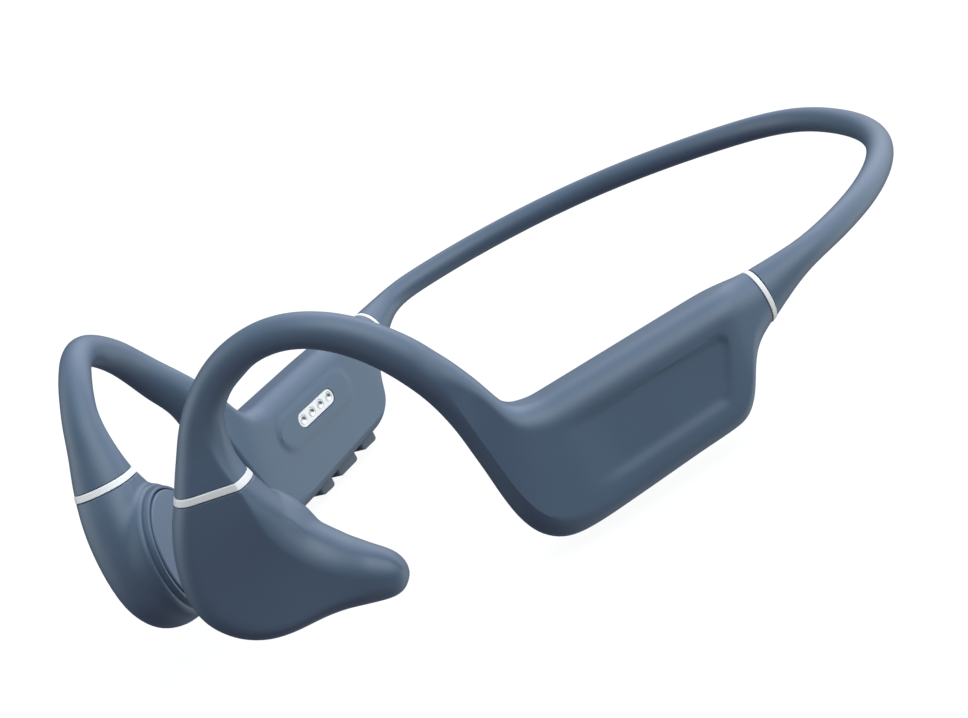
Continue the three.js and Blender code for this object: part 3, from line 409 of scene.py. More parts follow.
def rounded_rect(half_long, half_wide, radius, steps):
    a, b = half_long - radius, half_wide - radius
    points = []
    for x, y, start in ((a, b, 0), (-a, b, 90), (-a, -b, 180), (a, -b, 270)):
        for k in range(steps + 1):
            angle = math.radians(start + 90 * k / steps)
            points.append((x + radius * math.cos(angle), y + radius * math.sin(angle)))
    return points


def rounded_profile(rows, steps):
    """Rows (radius, n, rounding): the profile with its inner points rounded off."""
    profile = [rows[0][:2]]
    for before, here, after in zip(rows, rows[1:], rows[2:]):
        corner = np.array(here[:2])
        back, ahead = np.array(before[:2]) - corner, np.array(after[:2]) - corner
        back_length, ahead_length = np.linalg.norm(back), np.linalg.norm(ahead)
        reach = min(here[2], 0.45 * back_length, 0.45 * ahead_length)
        start = corner + back / back_length * reach
        end = corner + ahead / ahead_length * reach
        for t in np.linspace(0, 1, steps):
            profile.append(tuple((1 - t) ** 2 * start + 2 * t * (1 - t) * corner + t * t * end))
    profile.append(rows[-1][:2])
    return profile


# ---------------------------------------------------------------- materials
def set_inputs(tree, node, inputs):
    """Sets each input to a value, or links it when given an output socket."""
    for key, value in inputs.items():
        if isinstance(value, bpy.types.NodeSocket):
            tree.links.new(value, node.inputs[key])
        else:
            node.inputs[key].default_value = value


def add_node(tree, kind, inputs={}, operation=None):
    node = tree.nodes.new("ShaderNode" + kind)
    if operation:
        node.operation = operation
    set_inputs(tree, node, inputs)
    return node


def blank_tree(owner):
    owner.use_nodes = True
    owner.node_tree.nodes.clear()
    return owner.node_tree


def principled(name):
    material = bpy.data.materials.new(name)
    tree = blank_tree(material)
    output = add_node(tree, "OutputMaterial")
    surface = add_node(tree, "BsdfPrincipled")
    set_inputs(tree, output, {0: surface.outputs[0]})
    return material, tree, surface


def soft_touch(name, color, rough, grain=1.0, spread=0.03, spec=0.5):
    """Moulded silicone or plastic: fine grain, and faint clouds in colour (spread) and gloss."""
    material, tree, surface = principled(name)
    place = add_node(tree, "TexCoord").outputs["Object"]
    cloud = add_node(tree, "TexNoise", {
        "Scale": 60.0, "Detail": 3.0, "Vector": place}).outputs["Fac"]
    speck = add_node(tree, "TexNoise", {
        "Scale": 5200.0, "Detail": 4.0, "Roughness": 0.6, "Vector": place}).outputs["Fac"]
    cells = add_node(tree, "TexVoronoi", {"Scale": 3400.0, "Vector": place}).outputs["Distance"]
    cloud_tone = add_node(tree, "MapRange", {
        "From Min": 0.3, "From Max": 0.7,
        "To Min": 1.0 - spread, "To Max": 1.0 + spread, "Value": cloud})
    speck_tone = add_node(tree, "MapRange", {
        "From Min": 0.35, "From Max": 0.65,
        "To Min": 1.0 - spread * 0.5, "To Max": 1.0 + spread * 0.5, "Value": speck})
    tone = add_node(tree, "Math", {0: cloud_tone.outputs[0], 1: speck_tone.outputs[0]},
                    "MULTIPLY")
    tint = add_node(tree, "VectorMath", {0: color, "Scale": tone.outputs[0]}, "SCALE")
    gloss = add_node(tree, "MapRange", {
        "To Min": rough - 0.05, "To Max": rough + 0.05, "Value": cloud})
    height = add_node(tree, "Math", {0: cells, 1: 0.5, 2: speck}, "MULTIPLY_ADD")
    bump = add_node(tree, "Bump", {
        "Strength": 0.12 * grain, "Distance": 0.00003, "Height": height.outputs[0]})
    set_inputs(tree, surface, {
        "Base Color": tint.outputs[0], "Roughness": gloss.outputs[0],
        "Normal": bump.outputs[0], "Specular IOR Level": spec})
    return material


def metal(name, color, rough, scale=900.0, stretch=(1, 1, 12), strength=0.15):
    """Metal with a noise grain, stretched unevenly, in its colour, gloss and relief."""
    material, tree, surface = principled(name)
    place = add_node(tree, "TexCoord").outputs["Object"]
    mapping = add_node(tree, "Mapping", {"Scale": stretch, 0: place})
    grain = add_node(tree, "TexNoise", {
        "Scale": scale, "Detail": 5, "Vector": mapping.outputs[0]}).outputs["Fac"]
    gloss = add_node(tree, "MapRange", {
        "To Min": rough - 0.08, "To Max": rough + 0.08, "Value": grain})
    ramp = add_node(tree, "ValToRGB", {"Fac": grain})
    ramp.color_ramp.elements[0].color = (*[c * 0.88 for c in color], 1)
    ramp.color_ramp.elements[1].color = (*color, 1)
    bump = add_node(tree, "Bump", {"Strength": strength, "Distance": 0.00002, "Height": grain})
    set_inputs(tree, surface, {
        "Roughness": gloss.outputs[0], "Base Color": ramp.outputs[0], "Metallic": 1.0,
        "Normal": bump.outputs[0]})
    return material


LOOKS = {  # material slot: its look
    "silicone_skin": soft_touch("skin_slate", (0.093, 0.137, 0.198), rough=0.36, spec=0.6),
    "pad_silicone": soft_touch("pad_slate", (0.112, 0.157, 0.222), rough=0.44, grain=1.3,
                               spec=0.55),
    # Key caps: base colour darker than the skin's, painted shade standing in for the shadow under
    # the keys
    "button_rubber": soft_touch("button_slate_painted_shade", (0.060, 0.085, 0.120), rough=0.38, grain=0.8,
                                spec=0.55),
    "trim_ring": soft_touch("trim_white", (0.97, 0.94, 0.90), rough=0.38, grain=0.3,
                            spread=0.01),
    "casing_plastic": soft_touch("casing_dark", (0.03, 0.034, 0.04), rough=0.55, grain=1.5),
    "cable_jacket": soft_touch("cable_jacket", (0.016, 0.016, 0.018), rough=0.5),
    "circuit_board": soft_touch("board_green", (0.02, 0.11, 0.05), rough=0.4, grain=0.6),
    "spring_wire": metal("spring_titanium", (0.55, 0.54, 0.53), rough=0.32),
    "transducer_steel": metal("stamped_steel", (0.56, 0.57, 0.58), rough=0.34),
    "magnet_nickel": metal("nickel_plate", (0.66, 0.65, 0.62), rough=0.22),
    "coil_copper": metal("copper_winding", (0.80, 0.42, 0.25), rough=0.30, scale=2600,
                         stretch=(1, 1, 30), strength=0.6),
    "cell_foil": metal("cell_foil", (0.72, 0.73, 0.75), rough=0.35, scale=300,
                       stretch=(1, 1, 1)),
    "contact_plating": metal("contact_plate", (0.80, 0.79, 0.77), rough=0.36, scale=2500,
                             stretch=(1, 1, 1), strength=0.08),
}
LOOKS["insert_plastic"] = LOOKS["trim_ring"]
LOOKS["shield_metal"] = LOOKS["transducer_steel"]


def dress(ob, look):
    ob.data.materials.clear()
    ob.data.materials.append(look)


def register(ob, slot, body, *nodes, look=None):
    """Gives a piece its look, hangs it on its body's empty and hides the CAD parts it replaces.
    """
    dress(ob, look or LOOKS[slot])
    if body:
        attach(ob, body)
    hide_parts(*nodes)


for subpart in frame["record"]["subparts"]:
    dress(frame["nodes"][subpart["node"]], LOOKS[subpart["material_slot"]])

# ---------------------------------------------------------------- side skins
# Sunken panel on the outside of each box: (w, z) corners, grown by the radius
PANEL = [(43.0, -2.9), (68.6, -3.3), (65.7, -9.6), (43.0, -10.3)]
PANEL_RADIUS, PANEL_DEPTH = 1.35, 0.40
PANEL_FADE = (43.5, 50.5)                     # w over which it sinks in
PANEL_OUTSIDE = 4.0                           # n beyond which it acts
# Shallow oval recess on the inside of the right box
OVAL_W, OVAL_Z, OVAL_HALF, OVAL_RADIUS = 53.4, -4.15, 10.4, 3.1
OVAL_DEPTH, OVAL_INSIDE = 0.36, -3.6

# Charging insert, set in a hole within the oval recess
INSERT_W, INSERT_Z = 53.6, -3.95
INSERT_LONG, INSERT_WIDE, INSERT_GAP = 10.14, 2.64, 0.2

# Keys under the right box: name, front w, rear w
BUTTONS = [("volume_up", 61.15, 66.3), ("play", 53.3, 59.9), ("volume_down", 47.75, 52.35)]
BUTTON_WIDE, BUTTON_N, BUTTON_GAP = 4.2, 0.15, 0.44


def polygon_distance(w, z, corners, radius):
    """Signed distance to a polygon grown by radius (negative inside)."""
    points = np.stack([w, z], -1)
    nearest, inside = np.full(len(w), 1e9), np.zeros(len(w), bool)
    for a, b in zip(corners, corners[1:] + corners[:1]):
        a, b = np.array(a), np.array(b)
        edge = b - a
        t = np.clip(((points - a) @ edge) / (edge @ edge), 0, 1)
        nearest = np.minimum(nearest, np.hypot(*(points - a - t[:, None] * edge).T))
        spans = (a[1] > z) != (b[1] > z)
        inside ^= spans & (w < a[0] + (z - a[1]) * edge[0] / edge[1])
    return np.where(inside, -nearest, nearest) - radius


def carve_box(w, n, z, side):
    """Presses in the panel and, on the right, the oval recess."""
    distance = polygon_distance(w, z, PANEL, PANEL_RADIUS)
    softness = 0.55 + 0.9 * ease(-z, 7.6, 9.4)    # the lower edge is softer
    depth = PANEL_DEPTH * ease(w, *PANEL_FADE) * (1 - ease(distance / softness, -1.0, 0.25))
    carved = n - np.where(n > PANEL_OUTSIDE, depth, 0)
    if side < 0:
        past = np.clip(np.abs(w - OVAL_W) - (OVAL_HALF - OVAL_RADIUS), 0, None)
        distance = np.hypot(past, z - OVAL_Z) - OVAL_RADIUS
        depth = OVAL_DEPTH * (1 - ease(distance, -0.42, 0.2))
        carved -= np.where(carved < OVAL_INSIDE, depth, 0)
    return carved


def underside_cutter(long, wide, radius, w, n, bottom, top, steps):
    rect = rounded_rect(long / 2, wide / 2, radius, steps)
    return loft("cutter", [ring([(w + p, n + q, z) for p, q in rect], -1)
                           for z in (bottom, top)])


def right_box_cutters():
    """Slots for the keys, the hole for the charging insert, and a small hole underneath."""
    cutters = [underside_cutter(rear - front + BUTTON_GAP, BUTTON_WIDE + BUTTON_GAP, 1.3,
                                (front + rear) / 2, BUTTON_N, -18.5, -14.6, 10)
               for _, front, rear in BUTTONS]
    half_wide = (INSERT_WIDE + INSERT_GAP) / 2
    rect = rounded_rect((INSERT_LONG + INSERT_GAP) / 2, half_wide, half_wide - 0.001, 10)
    cutters.append(loft("cutter", [ring([(INSERT_W + p, n, INSERT_Z + q) for p, q in rect], -1)
                                   for n in (-6.5, -3.6)]))
    cutters.append(underside_cutter(0.8, 0.8, 0.39, 44.6, 0.4, -18.0, -14.9, 5))
    return cutters


SIDE_FINE = refine(SIDE, step=0.5, sigma=0.85)


def build_side_skin(side, name):
    rings = [section(SIDE_FINE[0], side, inset) for inset in (1.6, 0.5, 0.10)]
    rings += [section(station, side, 0.0, carve_box) for station in SIDE_FINE]
    rings += [section(SIDE_FINE[-1], side, inset) for inset in (0.06, 0.4, 1.6)]
    ob = loft("side_skin_" + name + "_moulding", rings, 30)
    if side < 0:
        cut(ob, right_box_cutters(), 32)
    register(ob, "silicone_skin", name + "_arm", "side_skin_" + name)


def build_trim_rings(side, name):
    """Rings with softened edges, standing slightly proud of the skin."""
    end_inset, proud, softening, soft_reach = 1.3, 0.02, 0.09, 0.12
    for ring_name, (first, last) in TRIM_RINGS.items():
        rings = [section(first, side, end_inset)]
        for t in np.linspace(0, 1, 13):
            edge = min(t, 1 - t) * 1.1
            inset = softening * (1 - min(1.0, edge / soft_reach)) ** 2 - proud
            rings.append(section(first + (last - first) * t, side, inset))
        rings.append(section(last, side, end_inset))
        node = ring_name + "_" + name
        register(loft(node + "_trim", rings, 32), "trim_ring", name + "_arm", node)


# ---------------------------------------------------------------- pods
# Round collar behind the pad: centre w, centre z, radius, n. The first six rows are splined.
COLLAR = np.array([
    (-0.3, -0.6, 9.3, 1.5), (-0.25, -0.65, 10.1, -2.0), (-0.4, -0.7, 10.36, -3.6),
    (-0.7, -0.76, 10.3, -4.6), (-0.95, -0.7, 10.1, -5.3), (-1.08, -0.63, 9.8, -5.75),
    (-1.1, -0.6, 9.68, -5.88), (-1.1, -0.6, 9.5, -5.93), (-1.1, -0.6, 9.2, -5.93),
    (-1.1, -0.6, 8.9, -5.6),
])
COLLAR_SPLINED = 6
PAD_W, PAD_Z, ROUND_VERTS = -1.1, -0.6, 120
# Profiles: radius, n, rounding
BEAD = [(8.68, -5.4, 0), (8.66, -6.3, 0.2), (8.72, -6.86, 0.2), (9.16, -6.86, 0.26),
        (9.3, -6.3, 0.3), (9.3, -5.4, 0)]
PAD_FACE = [(8.0, -4.9, 0), (8.5, -5.4, 0.3), (8.5, -6.95, 0.25), (8.3, -7.12, 0.2),
            (7.4, -7.15, 0.5), (3.0, -7.15, 1.0), (0.02, -7.15, 0)]
PAD_BACK = [(2.0, -4.9), (8.0, -4.9)]

FUSE_VOXEL = 0.00017                          # metres
FUSE_ROUNDS, EDGE_ROUNDS = 70, 6              # relaxing rounds at the seam, elsewhere
SEAM_W, SEAM_Z, SEAM_RADIUS = -0.4, -0.7, 10.3
RING_LINE = (11.45, -0.116)                   # z of the front ring at w = 0, slope along w


def relax_weights(points, side):
    """How far each vertex of the pod may relax: at the collar's seam, and elsewhere."""
    local = points * 1000.0 - ORIGIN
    x, y = side * local[:, 0] - SHEET_FRONT[0], local[:, 1] - SHEET_FRONT[1]
    z = local[:, 2]
    w = x * math.sin(FRONT_HEADING) + y * math.cos(FRONT_HEADING)
    n = x * math.cos(FRONT_HEADING) - y * math.sin(FRONT_HEADING)
    below_ring = RING_LINE[0] + RING_LINE[1] * w - z
    off_seam = np.abs(np.hypot(w - SEAM_W, z - SEAM_Z) - SEAM_RADIUS)
    seam = ((1.0 - ease(off_seam, 1.2, 2.6)) * ease(n, -5.4, -4.5)
            * (1.0 - ease(n, 1.6, 3.2)) * ease(below_ring, 1.2, 3.5))
    # The edges next to the trim ring and next to the pad stay crisp
    rest = 0.7 * ease(below_ring, 0.35, 1.3) * ease(n, -5.45, -4.9)
    return seam, rest


def fuse(ob, other, side):
    """Joins the collar to the pod's body as one skin and softens the line where they meet."""
    bm = bmesh.new()
    bm.from_mesh(ob.data)
    bm.from_mesh(other.data)
    bm.to_mesh(ob.data)
    bm.free()
    spare = other.data
    bpy.data.objects.remove(other)
    bpy.data.meshes.remove(spare)
    mod = ob.modifiers.new("fuse", "REMESH")
    mod.mode = "VOXEL"
    mod.voxel_size = FUSE_VOXEL
    mod.adaptivity = 0.0
    apply_modifiers(ob)

    mesh = ob.data
    count = len(mesh.vertices)
    points = np.empty(count * 3)
    mesh.vertices.foreach_get("co", points)
    points = points.reshape(count, 3)
    edges = np.empty(len(mesh.edges) * 2, dtype=np.int64)
    mesh.edges.foreach_get("vertices", edges)
    a, b = edges.reshape(-1, 2).T
    seam, rest = relax_weights(points, side)
    neighbours = np.bincount(edges, minlength=count).astype(float)
    neighbours[neighbours == 0] = 1.0
    for r in range(FUSE_ROUNDS):
        weight = (0.5 * np.maximum(seam, rest if r < EDGE_ROUNDS else 0.0))[:, None]
        sums = [np.bincount(a, points[b, c], count) + np.bincount(b, points[a, c], count)
                for c in range(3)]
        average = np.stack(sums, axis=1) / neighbours[:, None]
        points = points + weight * (average - points)
    mesh.vertices.foreach_set("co", points.ravel())
    mesh.update()
    shade_smooth(ob, 48)


def build_pod_shell(side, name):
    """Pod body closing in a rounded tip, fused with the collar."""
    fine = refine(POD, step=0.36, sigma=0.8, smoother=blur_to_tip)
    rings = [section(fine[0], side, inset) for inset in (1.6, 0.4, 0.06)]
    rings += [section(station, side) for station in fine[:-1]]
    end = fine[-1]
    tip = at(0.5 * (end[0] + end[2]), 0.5 * (end[4] - end[5]), 0.5 * (end[1] + end[3]), side)
    body = loft("pod_body_" + name, rings, 32, tip)

    splined = COLLAR[:COLLAR_SPLINED]
    rows = catmull(splined, running(gaps(splined[:, 2:4]) + 0.01), 0.4)
    rings = [circle(w, z, radius, n, side, ROUND_VERTS)
             for w, z, radius, n in np.vstack([rows, COLLAR[COLLAR_SPLINED:]])]
    fuse(body, loft("pod_skirt_" + name, rings, 50), side)
    register(body, "silicone_skin", name + "_arm", "pod_shell_" + name)


def pad_lathe(name, profile, side, sharp=35.0):
    rings = [circle(PAD_W, PAD_Z, radius, n, side, ROUND_VERTS) for radius, n in profile]
    return loft(name, rings, sharp)


def build_pad(side, name):
    """Sealing bead round the pad, and the pad that faces the head."""
    bead = pad_lathe("pad_bead_" + name, rounded_profile(BEAD, 7), side)
    register(bead, "pad_silicone", name + "_arm", "pad_seal_" + name,
             look=LOOKS["silicone_skin"])
    face = pad_lathe("contact_face_" + name, PAD_BACK + rounded_profile(PAD_FACE, 6), side, 60)
    register(face, "pad_silicone", name + "_pad", "contact_pad_" + name)


# ---------------------------------------------------------------- neckband
TUBE_RADIUS = 2.0
# Centre line from the middle of the back to the left: x, y
BAND = [
    (0, 0), (4.6, -0.32), (9.3, -1.35), (14.3, -2.95), (19.4, -4.95), (25.3, -7.75),
    (31.7, -11.6), (37.9, -16.6), (43, -22.3), (46.6, -27.6), (49, -32.1), (50.7, -36),
    (51.85, -39.6), (52.7, -42.8), (53.3, -45.9), (53.75, -48.9),
]
# Flare from the tube to the rear ring: w, top z, bottom z, half thickness
FLARE = [
    (85.9, 2, -2.2, 2.12), (84.15, 2, -2.85, 2.4), (82.3, 2, -3.8, 2.75),
    (80.4, 2, -4.75, 3.1), (78.85, 2, -5.45, 3.36),
]
BAND_STEP, BAND_SIGMA = 0.6, 2.6
SLEEVE_VERTS, CORE_VERTS = 44, 12
# Cores inside the sleeve: name, offset outwards, radius, slot
CORES = [("wire", 0.62, 0.5, "spring_wire"), ("cable", -0.6, 0.55, "cable_jacket")]


def half_band(side):
    """Rows x, y, top z, bottom z, half thickness, from the middle to the arm."""
    rows = [(side * x, y, TUBE_RADIUS, -TUBE_RADIUS, TUBE_RADIUS) for x, y in BAND]
    for w, top, bottom, half in FLARE:
        x, y, z = at(w, 0, 0, side)
        rows.append((x, y, top + z, bottom + z, half))
    return np.array(rows, float)


def band_ring(row, tangent, half_wide, half_high, offset, count):
    x, y, top, bottom, _ = row
    points = []
    for j in range(count):
        angle = 2 * math.pi * j / count
        out = offset + half_wide * math.cos(angle)
        z = (top + bottom) / 2 + half_high * math.sin(angle)
        points.append((x - tangent[1] * out, y + tangent[0] * out, z))
    return np.array(points)


def sleeve_ring(row, tangent, inset=0.0):
    half_high = (row[2] - row[3]) / 2 - inset
    return band_ring(row, tangent, row[4] - inset, half_high, 0.0, SLEEVE_VERTS)


def build_neckband():
    """One continuous sleeve from the right arm to the left, with two cores inside."""
    rows = np.vstack([half_band(-1)[1:][::-1], half_band(1)])
    rows = catmull(rows, running(gaps(rows[:, 0:2])), BAND_STEP)
    rows = blur(rows, BAND_SIGMA / BAND_STEP)
    tangents = np.gradient(rows[:, 0:2], axis=0)
    tangents /= np.linalg.norm(tangents, axis=1)[:, None]
    # The ends meet the arms square
    tangents[0] = [-math.sin(REAR_HEADING), math.cos(REAR_HEADING)]
    tangents[-1] = [-math.sin(REAR_HEADING), -math.cos(REAR_HEADING)]

    def add(name, rings, slot, node):
        ob = loft(name, rings, 55)
        register(ob, slot, None, node + "_left", node + "_right")
        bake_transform(ob)

    rings = [sleeve_ring(rows[0], tangents[0], inset) for inset in (1.6, 0.5, 0.1)]
    rings += [sleeve_ring(row, tangent) for row, tangent in zip(rows, tangents)]
    rings += [sleeve_ring(rows[-1], tangents[-1], inset) for inset in (0.1, 0.5, 1.6)]
    add("neckband_tube", rings, "silicone_skin", "neckband_sleeve")
    for name, offset, radius, slot in CORES:
        rings = [band_ring(rows[k], tangents[k], radius, radius, offset, CORE_VERTS)
                 for k in range(2, len(rows) - 2, 2)]
        add("neckband_" + name + "_core", rings, slot, "neckband_" + name)


# ---------------------------------------------------------------- buttons
UNDERSIDE_FRONT, UNDERSIDE_REAR = (45.4, -16.05), (67.3, -15.0)   # w, z of the box's bottom
BUTTON_PROUD, BUTTON_TILT, BUTTON_ROOT = 1.6, 0.048, -13.9
BUTTON_FRONT_RADIUS = 2.1
BUTTON_BEVEL, BEVEL_SLOPE = 0.75, 1.1         # at the rear end
# Section of a key: inset, height above its lowest face
BUTTON_PROFILE = [
    (0.0, 2.1), (0.0, 1.8), (0.0, 1.5), (0.0, 1.25), (0.0, 1.0), (0.0, 0.8), (0.0, 0.62),
    (0.0, 0.46), (0.02, 0.33), (0.07, 0.21), (0.15, 0.11), (0.26, 0.04), (0.42, 0.0),
    (0.9, 0.0), (1.4, 0.0), (1.9, 0.0),
]


def underside(w):
    (front, front_z), (rear, rear_z) = UNDERSIDE_FRONT, UNDERSIDE_REAR
    return front_z + (rear_z - front_z) * (w - front) / (rear - front)


def build_button(name, front, rear):
    middle, half = (front + rear) / 2, (rear - front) / 2
    tip = underside(middle) - BUTTON_PROUD
    profile = [(0.9, BUTTON_ROOT), (0.0, BUTTON_ROOT)]
    profile += [(inset, tip + above) for inset, above in BUTTON_PROFILE]
    rings = []
    for inset, level in profile:
        half_wide, radius = BUTTON_WIDE / 2 - inset, max(1.0 - inset * 0.5, 0.08)
        if half_wide < 0.25:
            half_wide, radius = 0.25, 0.08
        points = []
        for p, q in rounded_rect(half - inset, half_wide, radius, 8):
            z = level
            over = (-half + BUTTON_FRONT_RADIUS) - p
            if over > 0:
                drop = math.sqrt(max(BUTTON_FRONT_RADIUS ** 2 - over * over, 0.0))
                z = max(z, tip + BUTTON_FRONT_RADIUS - drop)
            over = p - (half - BUTTON_BEVEL)
            if over > 0:
                z = max(z, tip + BEVEL_SLOPE * over)
            points.append((middle + p, BUTTON_N + q, z + BUTTON_TILT * p))
        rings.append(ring(points, -1))
    register(loft(name + "_cap", rings, 50), "button_rubber", name + "_key", name + "_button")


# ---------------------------------------------------------------- charging insert, contacts
INSERT_FACE, INSERT_BACK = -4.86, -3.9        # n
CONTACT_PITCH, CONTACT_COUNT = 2.54, 4
CONTACTS_W = [INSERT_W + (k - 1.5) * CONTACT_PITCH for k in range(CONTACT_COUNT)]
# Inset, n
INSERT_PROFILE = [
    (0.6, INSERT_BACK), (0.0, INSERT_BACK), (0.0, INSERT_FACE + 0.14),
    (0.03, INSERT_FACE + 0.06), (0.1, INSERT_FACE + 0.01), (0.22, INSERT_FACE),
    (0.8, INSERT_FACE),
]
# Radius, n
HOLE_PROFILE = [(0.93, INSERT_FACE - 0.3), (0.93, INSERT_FACE - 0.001),
                (0.82, INSERT_FACE + 0.12), (0.82, -3.6)]
CONTACT_PROFILE = [
    (0.02, INSERT_FACE + 0.46), (0.25, INSERT_FACE + 0.40), (0.42, INSERT_FACE + 0.30),
    (0.52, INSERT_FACE + 0.16), (0.58, INSERT_FACE + 0.07), (0.66, INSERT_FACE + 0.045),
    (0.75, INSERT_FACE + 0.05), (0.795, INSERT_FACE + 0.10), (0.795, -3.2), (0.4, -3.2),
]


def stadium(long, wide, steps=12):
    radius = wide / 2
    points = []
    for centre, start in ((long / 2 - radius, -math.pi / 2), (radius - long / 2, math.pi / 2)):
        for k in range(steps + 1):
            angle = start + math.pi * k / steps
            points.append((centre + radius * math.cos(angle), radius * math.sin(angle)))
    return points


def contact_lathe(name, w, profile, count, sharp=35.0):
    return loft(name, [circle(w, INSERT_Z, r, n, -1, count) for r, n in profile], sharp)


def build_charging():
    rings = []
    for inset, n in INSERT_PROFILE:
        shape = stadium(INSERT_LONG - 2 * inset, INSERT_WIDE - 2 * inset)
        rings.append(ring([(INSERT_W + p, n, INSERT_Z + q) for p, q in shape], -1))
    insert = loft("charging_plate", rings, 45)
    cut(insert, [contact_lathe("cutter", w, HOLE_PROFILE, 40) for w in CONTACTS_W], 30)
    register(insert, "insert_plastic", "right_arm", "charging_insert")
    for k, w in enumerate(CONTACTS_W, 1):
        pin = contact_lathe("contact_pin_%d" % k, w, CONTACT_PROFILE, 48, 60)
        register(pin, "contact_plating", "right_arm", "charging_contact_%d" % k)


# ---------------------------------------------------------------- floor, light, camera
def floor_material():
    """Nearly white to the camera, mid grey to everything else."""
    material = bpy.data.materials.new("floor_pale")
    tree = blank_tree(material)
    rays = add_node(tree, "LightPath")
    mix = add_node(tree, "MixShader", {0: rays.outputs["Is Camera Ray"]})
    bounce = add_node(tree, "BsdfDiffuse", {0: (0.5, 0.51, 0.53, 1)})
    seen = add_node(tree, "MixShader", {0: 0.86})
    white = add_node(tree, "BsdfDiffuse", {0: (0.85, 0.85, 0.85, 1)})
    glow = add_node(tree, "Emission", {0: (1, 1, 1, 1), 1: 1.08})
    set_inputs(tree, seen, {1: white.outputs[0], 2: glow.outputs[0]})
    set_inputs(tree, mix, {1: bounce.outputs[0], 2: seen.outputs[0]})
    add_node(tree, "OutputMaterial", {0: mix.outputs[0]})
    return material


def build_floor():
    mesh = bpy.data.meshes.new("floor")
    bm = bmesh.new()
    bmesh.ops.create_grid(bm, x_segments=8, y_segments=8, size=3.0)
    bm.to_mesh(mesh)
    bm.free()
    floor = bpy.data.objects.new("floor", mesh)
    floor.location = (0, 0, -0.0004)
    floor.data.materials.append(floor_material())
    bpy.context.scene.collection.objects.link(floor)
    floor.visible_diffuse = False
    floor.visible_glossy = False
    floor.visible_shadow = False
    floor.visible_transmission = False


# Soft panels of light: direction x, y, z, then colour r, g, b
LIGHT_PANELS = [
    (0.722, 0.394, 0.569, 1.365, 1.439, 1.508), (0.704, -0.047, 0.708, 1.131, 1.230, 1.301),
    (-0.344, 0.786, 0.514, 1.082, 1.124, 1.231), (-0.596, -0.737, 0.319, 0.931, 1.004, 1.064),
    (0.351, 0.783, -0.514, 0.849, 0.910, 0.933), (-0.094, 0.475, 0.875, 0.640, 0.652, 0.714),
    (-0.059, 0.955, 0.292, 0.635, 0.631, 0.703), (-0.572, -0.458, 0.681, 0.624, 0.649, 0.647),
    (0.927, 0.140, 0.347, 0.510, 0.572, 0.556), (0.283, 0.956, 0.069, 0.372, 0.400, 0.442),
    (-0.467, 0.490, 0.736, 0.353, 0.395, 0.466), (0.099, 0.474, -0.875, 0.361, 0.400, 0.446),
    (0.352, 0.102, 0.931, 0.186, 0.256, 0.320), (0.264, -0.798, -0.542, 0.203, 0.177, 0.257),
    (0.589, 0.794, -0.153, 0.173, 0.229, 0.227), (-0.853, -0.513, 0.097, 0.160, 0.181, 0.230),
    (0.403, 0.459, 0.792, 0.105, 0.166, 0.257), (0.060, -0.155, 0.986, 0.141, 0.155, 0.164),
    (0.069, 0.954, -0.292, 0.165, 0.139, 0.130), (0.257, 0.124, -0.958, 0.169, 0.135, 0.119),
    (-0.399, 0.463, -0.792, 0.081, 0.112, 0.152), (0.738, 0.642, 0.208, 0.093, 0.121, 0.121),
    (0.117, 0.749, 0.653, 0.057, 0.085, 0.191), (-0.272, -0.795, 0.542, 0.059, 0.108, 0.132),
    (0.438, -0.898, 0.042, 0.102, 0.087, 0.085), (-0.718, 0.401, -0.569, 0.088, 0.085, 0.083),
    (0.428, -0.314, 0.847, 0.029, 0.063, 0.085), (-0.351, 0.106, -0.931, 0.017, 0.049, 0.089),
    (-0.062, -0.154, -0.986, 0.065, 0.033, 0.047), (-0.842, -0.283, 0.458, 0.000, 0.030, 0.026),
    (-0.256, 0.126, 0.958, 0.013, 0.015, 0.026), (-0.431, -0.310, -0.847, 0.025, 0.000, 0.015),
    (0.436, 0.790, 0.431, 0.000, 0.000, 0.034), (0.472, 0.485, -0.736, 0.000, 0.018, 0.000),
]
PANEL_FOCUS, LIGHT_GAIN = 9.0, 1.08           # higher focus makes the panels smaller


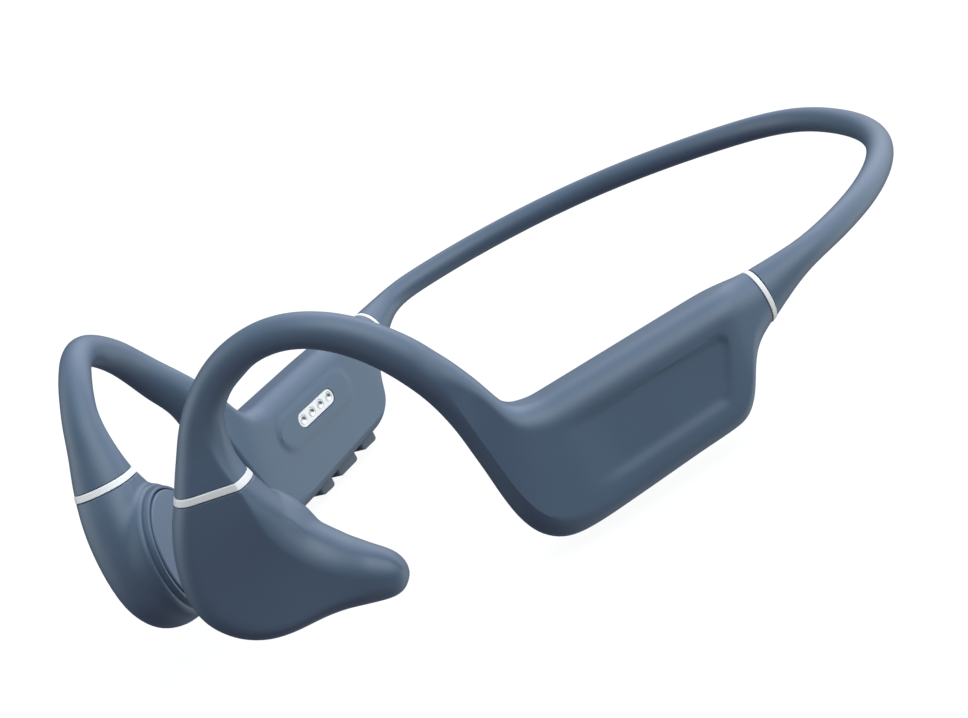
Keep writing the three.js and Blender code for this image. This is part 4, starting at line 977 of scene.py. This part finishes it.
def build_world():
    """White to the camera; to everything else, broad soft panels all round."""
    world = bpy.data.worlds.new("studio")
    bpy.context.scene.world = world
    tree = blank_tree(world)
    seen = add_node(tree, "Background", {0: (1, 1, 1, 1)})
    lit = add_node(tree, "Background", {1: LIGHT_GAIN})
    direction = add_node(tree, "TexCoord").outputs["Generated"]
    total = (0, 0, 0)
    for *towards, red, green, blue in LIGHT_PANELS:
        dot = add_node(tree, "VectorMath", {0: direction, 1: towards}, "DOT_PRODUCT")
        falloff = add_node(tree, "Math", {
            0: dot.outputs["Value"], 1: PANEL_FOCUS, 2: -PANEL_FOCUS}, "MULTIPLY_ADD")
        glow = add_node(tree, "Math", {0: falloff.outputs[0]}, "EXPONENT")
        total = add_node(tree, "VectorMath", {
            0: glow.outputs[0], 1: (red, green, blue), 2: total}, "MULTIPLY_ADD").outputs[0]
    set_inputs(tree, lit, {0: total})
    rays = add_node(tree, "LightPath")
    mix = add_node(tree, "MixShader", {
        0: rays.outputs["Is Camera Ray"], 1: lit.outputs[0], 2: seen.outputs[0]})
    add_node(tree, "OutputWorld", {0: mix.outputs[0]})
    world.cycles.sampling_method = "MANUAL"
    world.cycles.sample_map_resolution = 256


def build_camera():
    """Seen from the front left, a little above, with some roll."""
    camera = bpy.data.cameras.new("camera")
    camera.sensor_fit = "HORIZONTAL"
    camera.sensor_width = 36.0
    camera.lens = 84.197268595
    camera.clip_start = 0.01
    camera.clip_end = 20.0
    ob = bpy.data.objects.new("camera", camera)
    ob.matrix_world = Matrix((
        (0.5616544, 0.0372636, 0.8265324, 0.2837092),
        (0.6941278, 0.5224264, -0.4952345, -0.1748168),
        (-0.4502566, 0.8518697, 0.2675574, 0.1072949),
        (0.0, 0.0, 0.0, 1.0)))
    bpy.context.scene.collection.objects.link(ob)
    bpy.context.scene.camera = ob


# ---------------------------------------------------------------- build
for side, name in ((1, "left"), (-1, "right")):
    build_side_skin(side, name)
    build_trim_rings(side, name)
    build_pod_shell(side, name)
    build_pad(side, name)
build_neckband()
for button in BUTTONS:
    build_button(*button)
build_charging()
build_floor()
build_world()
build_camera()
bpy.context.scene.view_settings.view_transform = "Standard"
bpy.context.scene.view_settings.look = "None"
